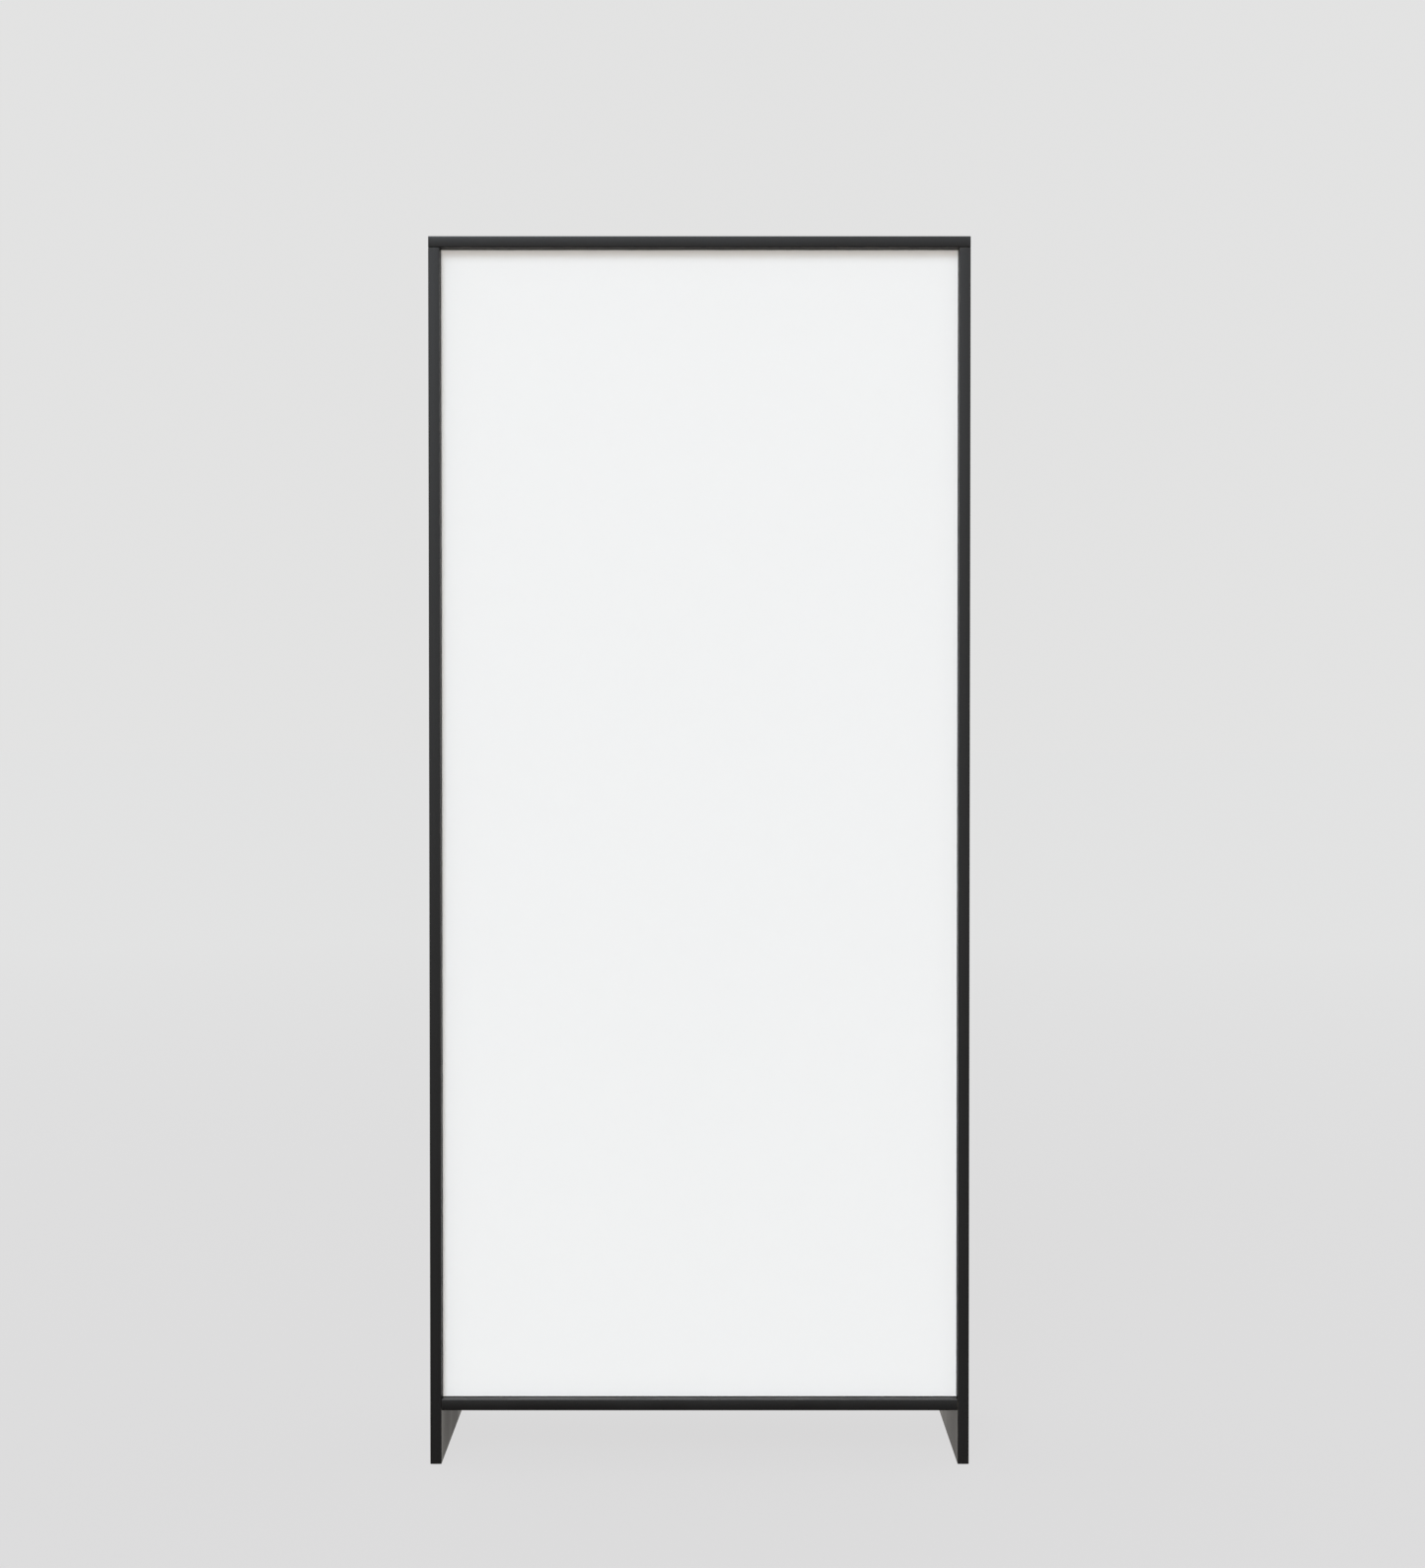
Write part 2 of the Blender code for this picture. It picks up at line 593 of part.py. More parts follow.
def add_panels(paint, nylon):
    """The two display panels, and the clips in the back of each."""
    half_width = INNER_WIDTH / 2 - PANEL_MARGIN
    clip = clip_mesh()
    socket = clip_socket_mesh()
    for face, facing in FACES.items():
        back = facing * PANEL_BACK
        deep = sorted((facing * PANEL_FACE, back))
        low = (-half_width, deep[0], BOTTOM_TOP + PANEL_MARGIN)
        high = (half_width, deep[1], TOP_UNDERSIDE - PANEL_MARGIN)
        panel = block(f"{face}_panel", low, high, paint)
        ease_edges(panel, PANEL_ARRIS)
        into_panel = turned_towards((0, facing, 0))
        into_batten = turned_towards((0, -facing, 0))
        for hand, side in SIDES.items():
            for level, height in CLIP_HEIGHTS.items():
                mouth = (side * CLIP_X, back, height)
                combine(panel, place("clip socket", socket, location=mouth, turn=into_panel))
                place(f"clip_{face}_{hand}_{level}", clip, nylon, mouth, into_batten)


def main():
    clear_scene()
    laminate = finish("black laminate", (0.020, 0.020, 0.021), 0.42)
    paint = finish("white paint", (0.86, 0.86, 0.86), 0.60)
    plywood = finish("birch plywood", (0.62, 0.44, 0.25), 0.60)
    pine = finish("pine", (0.66, 0.47, 0.26), 0.62)
    beech = finish("beech", (0.60, 0.40, 0.24), 0.60)
    zinc = finish("zinc", (0.62, 0.63, 0.65), 0.35, metallic=1.0)
    steel = finish("plated steel", (0.56, 0.57, 0.60), 0.30, metallic=1.0)
    black_nylon = finish("black nylon", (0.015, 0.015, 0.016), 0.50)
    white_nylon = finish("white nylon", (0.78, 0.78, 0.76), 0.45)
    add_frame(laminate)
    add_rails(plywood)
    add_battens(pine)
    add_panels(paint, white_nylon)
    add_cams(zinc)
    add_bolts(steel)
    add_dowels(beech)
    add_levellers(steel, black_nylon, zinc)


main()
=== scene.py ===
# %% [markdown]
# # A free-standing exhibition partition
#
# The wall is a tall, narrow box of black laminated boards. A white display panel is set back in each face,
# and the two side boards run down to the floor as legs. The measured shape is already there as a CAD model.
# This lesson gives it its finishes and its finer pieces: edge strips, screw threads, cam fittings, grain
# and paint.

# %% The measured model
import json
import math

import bpy
from mathutils import Matrix, Vector


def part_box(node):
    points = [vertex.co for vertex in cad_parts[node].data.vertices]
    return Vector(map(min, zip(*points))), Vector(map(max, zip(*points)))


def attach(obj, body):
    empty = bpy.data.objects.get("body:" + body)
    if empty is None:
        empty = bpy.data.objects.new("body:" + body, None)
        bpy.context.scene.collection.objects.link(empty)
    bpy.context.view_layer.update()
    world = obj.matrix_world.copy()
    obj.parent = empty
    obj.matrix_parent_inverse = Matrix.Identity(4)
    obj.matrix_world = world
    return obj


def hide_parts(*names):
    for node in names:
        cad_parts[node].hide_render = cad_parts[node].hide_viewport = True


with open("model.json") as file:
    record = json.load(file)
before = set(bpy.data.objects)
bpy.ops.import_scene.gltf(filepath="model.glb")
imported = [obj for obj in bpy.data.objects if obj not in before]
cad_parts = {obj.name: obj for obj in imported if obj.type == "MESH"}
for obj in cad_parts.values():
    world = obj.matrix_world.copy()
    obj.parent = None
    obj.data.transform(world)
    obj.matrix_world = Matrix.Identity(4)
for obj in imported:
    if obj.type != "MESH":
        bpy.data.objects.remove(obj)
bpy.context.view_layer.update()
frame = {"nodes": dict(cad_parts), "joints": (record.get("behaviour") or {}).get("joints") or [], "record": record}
FACES = {"front": -1, "back": 1}
HANDS = {"left": -1, "right": 1}
LEVELS = ("top", "bottom")

# %% [markdown]
# ## The camera
#
# The wall is seen almost square on, from just above half its height and tilted slightly down. A tall object
# is often taken from far away with a long lens, which keeps its lines parallel, but that would hide the
# inner faces of the legs. At five metres an ordinary lens still keeps the sides upright and shows the legs'
# depth.

# %% A camera five metres in front
EYE = (0.0265, -5.004, 1.465)
FROM_STRAIGHT_DOWN = math.radians(89.10)
LENS, SENSOR_WIDTH = 54.25, 36
bpy.ops.object.camera_add(location=EYE, rotation=(FROM_STRAIGHT_DOWN, 0, 0))
camera = bpy.context.object
camera.data.lens = LENS
camera.data.sensor_width = SENSOR_WIDTH
camera.data.clip_end = 2000
bpy.context.scene.camera = camera
bpy.context.scene.view_settings.view_transform = "Standard"
print("camera at", tuple(round(c, 3) for c in camera.location))

# %% [markdown]
# ## The floor
#
# A product picture needs a floor that melts into the background. A curved paper backdrop is the usual way,
# but it would stand in front of the wall in the other views. A very wide flat floor does the same, if the
# sky behind it is as bright, because then no horizon can be seen. This one is like a lit acrylic sheet, so
# the wall's shadow on it stays faint. It is hidden from diffuse and glossy rays, so that it doesn't light
# the wall from below: the wall gets its light from the lamps and the sky alone.

# %% A very wide glowing floor
bpy.ops.object.select_all(action="DESELECT")
FLOOR_WIDTH = 1200
bpy.ops.mesh.primitive_plane_add(size=FLOOR_WIDTH, location=(0, 0, 0))
floor = bpy.context.object
floor.name = "floor"
floor.visible_diffuse = False
floor.visible_glossy = False
print("floor", tuple(round(side) for side in floor.dimensions[:2]), "m")

# %% [markdown]
# Every finish below is a small network of nodes. `add_node` puts one node into a finish, and takes a
# number, a colour or another node's socket for each of its inputs. That keeps a network readable from top
# to bottom, where the node editor would show it from left to right.

# %% One node at a time
def add_node(tree, kind, inputs=None, **settings):
    made = tree.nodes.new(f"ShaderNode{kind}")
    for setting, value in settings.items():
        setattr(made, setting, value)
    for socket, value in (inputs or {}).items():
        if isinstance(value, bpy.types.NodeSocket):
            tree.links.new(value, made.inputs[socket])
        else:
            made.inputs[socket].default_value = value
    return made


def spread(tree, value, low, high, at_low, at_high, interpolation="SMOOTHSTEP"):
    """The value, where it runs from low to high, made to run from at_low to at_high."""
    inputs = {"Value": value, "From Min": low, "From Max": high, "To Min": at_low, "To Max": at_high}
    return add_node(tree, "MapRange", inputs, interpolation_type=interpolation).outputs["Result"]


def sums(tree, operation, first, second=0.0):
    return add_node(tree, "Math", {0: first, 1: second}, operation=operation).outputs[0]


def blended(tree, factor, first, second):
    """Between two colours, or a colour and a socket, by a factor from 0 to 1."""
    inputs = {"Factor": factor, 6: first, 7: second}
    return add_node(tree, "Mix", inputs, data_type="RGBA").outputs[2]


# %% [markdown]
# The floor is a mix of two shaders. Nearly all of it glows, and a small matte share takes the lamps' light
# and so the wall's shadow. The glow grows with the distance from the wall, until it meets the grey that the
# camera sees in the sky. A second lamp aimed at the floor could do the same, but it would also light the
# wall.

# %% The floor's glow, a little darker round the wall
NEAR_FLOOR, FAR_FLOOR = (0.712, 0.707, 0.709, 1), (0.757, 0.757, 0.755, 1)
FULL_GLOW_FROM = 13.0
MATTE_SHARE = 0.04
pale = bpy.data.materials.new("pale floor")
pale.use_nodes = True
tree = pale.node_tree
tree.nodes.remove(tree.nodes["Principled BSDF"])
on_floor = add_node(tree, "TexCoord").outputs["Object"]
from_wall = add_node(tree, "VectorMath", {0: on_floor}, operation="LENGTH").outputs["Value"]
shade = blended(tree, spread(tree, from_wall, 0.0, FULL_GLOW_FROM, 0.0, 1.0, "LINEAR"), NEAR_FLOOR, FAR_FLOOR)
glow = add_node(tree, "Emission", {"Color": shade})
matte = add_node(tree, "BsdfDiffuse", {"Color": (0.9, 0.9, 0.9, 1)})
both = add_node(tree, "MixShader", {0: MATTE_SHARE, 1: glow.outputs["Emission"], 2: matte.outputs["BSDF"]})
tree.links.new(both.outputs["Shader"], tree.nodes["Material Output"].inputs["Surface"])
floor.data.materials.append(pale)
print("floor finish:", len(tree.nodes), "nodes")

# %% [markdown]
# ## The light
#
# The sky is dim in front of the wall and low down, and bright behind it. That gives the front edges of the
# boards their fall from a sheen at the top to near black at the foot, and lets the legs' inner faces shine,
# where they are seen at a glancing angle. Low light is a little warm, as if it came off a wooden floor, and
# high light is a little cool. A sky may answer each kind of ray apart: here the camera sees an even grey,
# matte paint gets a dim even light, and the sheen of the laminate gets one that grows upwards.

# %% A sky that differs all round
WARM_BELOW, COOL_ABOVE = (1, 0.958, 0.90, 1), (0.975, 0.995, 1.03, 1)
SEEN_GREY = (0.766, 0.766, 0.764, 1)
world = bpy.data.worlds.new("studio")
bpy.context.scene.world = world
world.use_nodes = True
tree = world.node_tree
tree.nodes.clear()
way = add_node(tree, "SeparateXYZ", {0: add_node(tree, "TexCoord").outputs["Generated"]})
rays = add_node(tree, "LightPath").outputs
for_matte = spread(tree, way.outputs["Z"], -0.25, 0.35, 0.22, 0.30)
for_sheen = spread(tree, way.outputs["Z"], -0.35, 0.75, 0.06, 3.30)
in_front = spread(tree, rays["Is Glossy Ray"], 0.0, 1.0, for_matte, for_sheen, "LINEAR")
behind = spread(tree, way.outputs["Z"], 0.05, 0.60, 0.77, 1.40)
all_round = spread(tree, way.outputs["Y"], -0.2, 0.4, in_front, behind)
brighter_left = spread(tree, way.outputs["X"], -0.25, 0.25, 1.12, 0.88)
strength = sums(tree, "MULTIPLY", all_round, brighter_left)
upper = spread(tree, way.outputs["Z"], -0.3, 0.3, 0.0, 1.0)
tint = blended(tree, upper, WARM_BELOW, COOL_ABOVE)
lit = add_node(tree, "Background", {"Color": tint, "Strength": strength})
seen = add_node(tree, "Background", {"Color": SEEN_GREY})
either = {0: rays["Is Camera Ray"], 1: lit.outputs["Background"], 2: seen.outputs["Background"]}
sky = add_node(tree, "MixShader", either)
tree.links.new(sky.outputs["Shader"], add_node(tree, "OutputWorld").inputs["Surface"])
print("sky:", len(tree.nodes), "nodes")

# %% [markdown]
# Two lamps share the work. The high one, cool and on the left, draws the shadow of the top board on the
# panel. The low one, wide and warm, stands by the camera and fills that shadow. A sun lamp with a wide
# angle is the simplest large lamp: it lights the whole height of the wall evenly, where a square lamp
# nearby would fade downwards. The low one is hidden from glossy rays, because it would put a bright spot on
# the boards at the camera's height.

# %% A high lamp and a low one
def sun(name, to_left, upwards, energy, width, colour):
    """A far lamp; its angles are in degrees, to the left of the camera and up from the floor."""
    side, up = math.radians(to_left), math.radians(upwards)
    towards = Vector((-math.sin(side) * math.cos(up), -math.cos(side) * math.cos(up), math.sin(up)))
    bpy.ops.object.light_add(type="SUN", location=towards * 6)
    made = bpy.context.object
    made.name = name
    made.rotation_euler = towards.to_track_quat("Z", "Y").to_euler()
    made.data.energy = energy
    made.data.angle = math.radians(width)
    made.data.color = colour
    print(name, "shines from", tuple(round(c, 2) for c in towards))
    return made


sun("high lamp", to_left=15, upwards=38, energy=1.53, width=31, colour=(0.80, 0.90, 1.0))
fill = sun("low lamp", to_left=3, upwards=3, energy=2.02, width=18, colour=(1.0, 0.945, 0.875))
fill.visible_glossy = False

# %% [markdown]
# ## Finishes
#
# A finish starts as one shader with its constants. Patterns then read the piece's own coordinates in
# metres, so that a grain of half a millimetre is half a millimetre everywhere. `fine` noise gives grain and
# `broad` noise gives the slow change from one part of a board to another.

# %% The start of every finish
def new_finish(name, colour, roughness, metallic=0.0, specular=0.5):
    made = bpy.data.materials.new(name)
    made.use_nodes = True
    shader = made.node_tree.nodes["Principled BSDF"]
    shader.inputs["Base Color"].default_value = (*colour, 1)
    shader.inputs["Roughness"].default_value = roughness
    shader.inputs["Metallic"].default_value = metallic
    shader.inputs["Specular IOR Level"].default_value = specular
    return made


def coordinates(tree, stretch=(1, 1, 1), centre=(0, 0, 0)):
    """The piece's own coordinates about a centre, stretched where a grain runs one way."""
    own = add_node(tree, "TexCoord").outputs["Object"]
    scaled = tuple(-c * s for c, s in zip(centre, stretch))
    return add_node(tree, "Mapping", {"Vector": own, "Location": scaled, "Scale": stretch}).outputs[0]


def noise(tree, where, scale, detail=2.0, roughness=0.5, distortion=0.0):
    inputs = {"Vector": where, "Scale": scale, "Detail": detail, "Roughness": roughness}
    inputs["Distortion"] = distortion
    return add_node(tree, "TexNoise", inputs).outputs[0]


def complete(finish, colour=None, roughness=None, height=None, relief=0.0):
    """Joins the patterns to the shader; relief is the depth of the height pattern in metres."""
    tree = finish.node_tree
    shader = tree.nodes["Principled BSDF"]
    for socket, value in (("Base Color", colour), ("Roughness", roughness)):
        if value is not None:
            tree.links.new(value, shader.inputs[socket])
    if height is not None:
        bump = add_node(tree, "Bump", {"Height": height, "Distance": relief, "Strength": 1.0})
        tree.links.new(bump.outputs["Normal"], shader.inputs["Normal"])
    print(f"{finish.name}: {len(tree.nodes)} nodes")
    return finish


# %% [markdown]
# Edges wear first. On a board, a point lies near an edge when it is close to two of the faces at once. So
# the distances to the nearest face along X, Y and Z are sorted, and the middle one tells how far the edge
# is. Wear painted by hand would look as good, but this follows any board from its box alone.

# %% How close a point is to an edge of its board
def near_edge(tree, box, width):
    """1 on the edges of the box, falling to 0 at this width from them, and broken up by noise."""
    low, high = box
    where = coordinates(tree, centre=(low + high) / 2)
    size = add_node(tree, "VectorMath", {0: where}, operation="ABSOLUTE").outputs[0]
    reach = {0: tuple((high - low) / 2), 1: size}
    inside = add_node(tree, "VectorMath", reach, operation="SUBTRACT").outputs[0]
    x, y, z = add_node(tree, "SeparateXYZ", {0: inside}).outputs
    lesser, greater = sums(tree, "MINIMUM", x, y), sums(tree, "MAXIMUM", x, y)
    to_edge = sums(tree, "MAXIMUM", lesser, sums(tree, "MINIMUM", greater, z))
    edge = spread(tree, to_edge, 0.0, width, 1.0, 0.0)
    patches = spread(tree, noise(tree, where, 38, 5.0, 0.65), 0.46, 0.68, 0.0, 1.0)
    return sums(tree, "MULTIPLY", edge, patches)


# %% [markdown]
# **Black laminate** is a satin sheet pressed on the board, with a fine pebbled texture so that it doesn't
# show every fingerprint. It is wiped up and down, which leaves long soft patches of more and less sheen.
# Near the floor, brooms and shoes leave pale scuffs. The pebbles could be modelled, but at less than a
# millimetre across a bump pattern does as well.

# %% Satin black laminate, and the edging strip
def laminate(name, box, roughness, pebble, specular=0.3, unevenness=0.03):
    made = new_finish(name, (0.0048, 0.0045, 0.0043), roughness, specular=specular)
    tree = made.node_tree
    where = coordinates(tree)
    fine = noise(tree, where, 1100, 3.0, 0.6)
    broad = noise(tree, where, 2.3, 4.0)
    height = add_node(tree, "SeparateXYZ", {0: where}).outputs["Z"]
    low_down = spread(tree, height, 0.03, 0.28, 1.0, 0.0)
    strokes = noise(tree, coordinates(tree, (30, 30, 260)), 1.0, 4.0, 0.7, 0.4)
    scuffs = sums(tree, "MULTIPLY", spread(tree, strokes, 0.62, 0.74, 0.0, 1.0), low_down)
    worn = near_edge(tree, box, 0.0019)
    toned = blended(tree, broad, (0.0043, 0.0040, 0.0038, 1), (0.0056, 0.0052, 0.0050, 1))
    scuffed = blended(tree, sums(tree, "MULTIPLY", scuffs, 0.30), toned, (0.060, 0.055, 0.050, 1))
    colour = blended(tree, sums(tree, "MULTIPLY", worn, 0.45), scuffed, (0.090, 0.078, 0.066, 1))
    wiped = noise(tree, coordinates(tree, (5, 5, 1.4)), 1.0, 5.0, 0.6, 0.5)
    satin = spread(tree, wiped, 0.32, 0.68, roughness - unevenness, roughness + unevenness)
    duller = sums(tree, "ADD", satin, sums(tree, "MULTIPLY", scuffs, 0.10))
    grain = sums(tree, "MULTIPLY", sums(tree, "SUBTRACT", fine, 0.5), 0.05)
    return complete(made, colour, sums(tree, "ADD", duller, grain), fine, pebble)


# %% [markdown]
# **White paint** goes on with a small roller, which leaves a soft stipple of a millimetre or two. A noise
# of three octaves gives it: low bumps with finer ones on top. The back of a panel is only primed, and its
# sockets show raw **MDF**, a brown board of pressed fibres.

# %% Rolled white paint, primer and raw MDF
def paint(name, box):
    made = new_finish(name, (0.86, 0.86, 0.86), 0.72, specular=0.25)
    tree = made.node_tree
    where = coordinates(tree)
    stipple = noise(tree, where, 520, 3.0, 0.55)
    broad = noise(tree, where, 1.7, 3.0)
    toned = blended(tree, broad, (0.863, 0.863, 0.861, 1), (0.871, 0.871, 0.871, 1))
    worn = sums(tree, "MULTIPLY", near_edge(tree, box, 0.0012), 0.35)
    colour = blended(tree, worn, toned, (0.60, 0.56, 0.50, 1))
    rough = spread(tree, stipple, 0.3, 0.7, 0.67, 0.78)
    return complete(made, colour, rough, stipple, 0.00006)


def fibres(name, dark, light, roughness):
    made = new_finish(name, light, roughness, specular=0.3)
    tree = made.node_tree
    where = coordinates(tree)
    speckle = noise(tree, where, 900, 4.0, 0.75)
    cloud = noise(tree, where, 40, 3.0)
    mixed = sums(tree, "ADD", sums(tree, "MULTIPLY", speckle, 0.7), sums(tree, "MULTIPLY", cloud, 0.3))
    tone = spread(tree, mixed, 0.35, 0.65, 0.0, 1.0)
    colour = blended(tree, tone, (*dark, 1), (*light, 1))
    rough = spread(tree, tone, 0.0, 1.0, roughness - 0.06, roughness + 0.05)
    return complete(made, colour, rough, speckle, 0.00010)


primer = fibres("primer", (0.60, 0.59, 0.56), (0.70, 0.69, 0.66), 0.78)
raw_mdf = fibres("raw MDF", (0.27, 0.18, 0.105), (0.42, 0.30, 0.19), 0.86)

# %% [markdown]
# **Plywood** shows a long flame of grain on its faces and stripes of plies on its edges. Each stripe is one
# sheet of veneer, turned a quarter against the next, so every second one shows end grain and is darker.
# Which of the two a point gets depends on the way its surface faces. The height within the rail picks the
# ply.

# %% Birch plywood
def plywood(name, box):
    low, high = box
    plies = 13
    made = new_finish(name, (0.62, 0.44, 0.25), 0.6, specular=0.35)
    tree = made.node_tree
    along = coordinates(tree, (1.6, 26, 26), (low + high) / 2)
    flame = noise(tree, along, 2.0, 6.0, 0.6, 0.8)
    pores = noise(tree, coordinates(tree, (60, 1100, 1100)), 1.0, 3.0, 0.6)
    flamed = spread(tree, flame, 0.35, 0.65, 0.0, 1.0)
    face = blended(tree, flamed, (0.56, 0.38, 0.20, 1), (0.69, 0.51, 0.31, 1))
    height = add_node(tree, "SeparateXYZ", {0: coordinates(tree, centre=low)}).outputs["Z"]
    ply = sums(tree, "FRACT", sums(tree, "MULTIPLY", height, plies / 2 / (high.z - low.z)), 0.0)
    end_grain = spread(tree, ply, 0.47, 0.53, 0.0, 1.0)
    edge = blended(tree, end_grain, (0.60, 0.42, 0.24, 1), (0.33, 0.20, 0.105, 1))
    facing = add_node(tree, "SeparateXYZ", {0: add_node(tree, "TexCoord").outputs["Normal"]}).outputs["Z"]
    on_face = spread(tree, sums(tree, "ABSOLUTE", facing), 0.4, 0.6, 0.0, 1.0)
    wood = blended(tree, on_face, edge, face)
    colour = blended(tree, spread(tree, pores, 0.56, 0.72, 0.0, 0.45), wood, (0.30, 0.18, 0.09, 1))
    return complete(made, colour, spread(tree, flame, 0.3, 0.7, 0.52, 0.68), pores, 0.00008)


# %% [markdown]
# **Pine and beech** are solid wood. Pine has wide growth rings: a soft pale part and a thin dark line each
# year. Rings round an axis well outside the batten, bent by noise, cross it in gentle curves, as when it is
# sawn. Beech has no such lines, but short dark flecks along its length.

# %% Solid wood
def pine(name, box):
    low, high = box
    made = new_finish(name, (0.66, 0.47, 0.26), 0.62, specular=0.35)
    tree = made.node_tree
    middle = (low + high) / 2 + Vector((0.09, 0.05, 0))
    where = coordinates(tree, (1, 1, 0.05), middle)
    rings = add_node(tree, "TexWave", {
        "Vector": where, "Scale": 62.0, "Distortion": 3.2, "Detail": 2.0, "Detail Scale": 1.3,
    }, wave_type="RINGS", rings_direction="Z").outputs["Fac"]
    fibre = noise(tree, coordinates(tree, (900, 900, 22)), 1.0, 3.0, 0.6)
    late = spread(tree, rings, 0.55, 0.95, 0.0, 1.0)
    wood = blended(tree, late, (0.70, 0.52, 0.31, 1), (0.47, 0.27, 0.12, 1))
    colour = blended(tree, spread(tree, fibre, 0.45, 0.75, 0.0, 0.35), wood, (0.40, 0.25, 0.13, 1))
    return complete(made, colour, spread(tree, fibre, 0.3, 0.7, 0.54, 0.72), fibre, 0.00008)


def beech(name):
    made = new_finish(name, (0.60, 0.40, 0.24), 0.6, specular=0.35)
    tree = made.node_tree
    flecks = noise(tree, coordinates(tree, (520, 1500, 1500)), 1.0, 3.0, 0.65)
    broad = noise(tree, coordinates(tree), 90, 3.0)
    wood = blended(tree, broad, (0.53, 0.33, 0.185, 1), (0.66, 0.45, 0.28, 1))
    colour = blended(tree, spread(tree, flecks, 0.56, 0.7, 0.0, 0.7), wood, (0.34, 0.18, 0.09, 1))
    return complete(made, colour, spread(tree, flecks, 0.3, 0.7, 0.52, 0.70), flecks, 0.00006)


# %% [markdown]
# **Metals.** Die-cast zinc comes out of its mould with a faintly cloudy skin. Zinc-plated steel is
# brighter, with a bluish tint. Both are metals to the shader, so their colour is the colour of their
# reflections. A cloudy noise in colour and roughness serves for both, at two scales; a scratched texture
# would look old on hidden fittings.

# %% Zinc and plated steel
def metal(name, dark, light, roughness, cloud_scale, relief):
    made = new_finish(name, light, roughness, metallic=1.0)
    tree = made.node_tree
    where = coordinates(tree)
    cloud = noise(tree, where, cloud_scale, 5.0, 0.6)
    grain = noise(tree, where, 3500, 2.0)
    tone = spread(tree, cloud, 0.35, 0.65, 0.0, 1.0)
    colour = blended(tree, tone, (*dark, 1), (*light, 1))
    rough = spread(tree, cloud, 0.3, 0.7, roughness + 0.09, roughness - 0.06)
    grained = sums(tree, "ADD", rough, sums(tree, "MULTIPLY", grain, 0.04))
    return complete(made, colour, grained, grain, relief)


zinc = metal("die-cast zinc", (0.44, 0.45, 0.47), (0.63, 0.64, 0.66), 0.38, 260, 0.00002)
steel = metal("plated steel", (0.50, 0.52, 0.56), (0.66, 0.68, 0.72), 0.27, 420, 0.00001)

# %% [markdown]
# **Nylon.** Moulded parts copy the sparked surface of their mould: a very fine, even texture. White nylon
# is a little warm. Black nylon on the foot pads is rubbed grey by the floor.

# %% Moulded nylon
def nylon(name, dark, light, roughness):
    made = new_finish(name, light, roughness, specular=0.45)
    tree = made.node_tree
    where = coordinates(tree)
    spark = noise(tree, where, 2600, 2.0, 0.6)
    cloud = noise(tree, where, 120, 4.0, 0.6)
    tone = spread(tree, cloud, 0.38, 0.66, 0.0, 1.0)
    colour = blended(tree, tone, (*dark, 1), (*light, 1))
    rough = spread(tree, cloud, 0.3, 0.7, roughness - 0.06, roughness + 0.06)
    return complete(made, colour, rough, spark, 0.00003)


white_nylon = nylon("white nylon", (0.72, 0.715, 0.69), (0.80, 0.797, 0.775), 0.44)
black_nylon = nylon("black nylon", (0.011, 0.011, 0.012), (0.028, 0.028, 0.028), 0.52)
beech_wood = beech("dowel beech")

# %% [markdown]
# ## Working by code as by hand
#
# The operators that follow are the ones behind Blender's menus. They act on whatever is selected, and the
# CAD nodes start out selected, so `pick` clears the selection first. `choose_faces` then selects faces by a
# rule about their place and direction, as one would click on them.

# %% Picking pieces and faces
def pick(piece):
    if bpy.context.object and bpy.context.object.mode != "OBJECT":
        bpy.ops.object.mode_set(mode="OBJECT")
    bpy.ops.object.select_all(action="DESELECT")
    piece.select_set(True)
    bpy.context.view_layer.objects.active = piece


def choose_faces(piece, rule):
    """Leaves the piece in edit mode, with only those faces selected whose (centre, normal) pass the rule."""
    pick(piece)
    bpy.ops.object.mode_set(mode="EDIT")
    bpy.ops.mesh.select_mode(type="FACE")
    bpy.ops.mesh.select_all(action="DESELECT")
    bpy.ops.object.mode_set(mode="OBJECT")
    for face in piece.data.polygons:
        face.select = bool(rule(face.center, face.normal))
    bpy.ops.object.mode_set(mode="EDIT")


def settle(piece, angle=32):
    """Merges doubles, turns every face outwards, and shades smoothly across all but the sharp edges."""
    choose_faces(piece, lambda centre, normal: True)
    bpy.ops.mesh.remove_doubles(threshold=0.000002)
    bpy.ops.mesh.normals_make_consistent(inside=False)
    bpy.ops.object.mode_set(mode="OBJECT")
    bpy.ops.object.shade_smooth_by_angle(angle=math.radians(angle))
    return piece


# %% [markdown]
# A finished piece rides on a CAD body, stands for its CAD node and names its material slot. Its object must
# sit at the origin, with its place in its mesh, so the transform is applied first. Smooth shading averages
# a panel two metres long with its narrow arris, which bends the light over the whole panel. The Weighted
# Normal modifier lets the larger face win, so flat faces stay flat and only the arris turns.


def body_of(node):
    return next(body for body, nodes in frame["record"]["behaviour"]["bodies"].items() if node in nodes)


def hand_over(piece, name, node, finish=None, stands_for=True):
    pick(piece)
    bpy.ops.object.transform_apply(location=True, rotation=True, scale=True)
    piece.name = piece.data.name = name
    flatter = piece.modifiers.new("flat faces first", "WEIGHTED_NORMAL")
    flatter.weight = 100
    flatter.keep_sharp = True
    bpy.ops.object.modifier_apply(modifier=flatter.name)
    if finish:
        piece.data.materials.clear()
        piece.data.materials.append(finish)
    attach(piece, body_of(node))
    if stands_for:
        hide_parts(node)
    return piece


def put_copy(model, place):
    """A copy of a modelled piece with its own mesh, moved and turned by a matrix."""
    pick(model)
    bpy.ops.object.duplicate()
    made = bpy.context.object
    made.matrix_world = place
    return made


def clear_away(*models):
    for model in models:
        bpy.data.objects.remove(model)


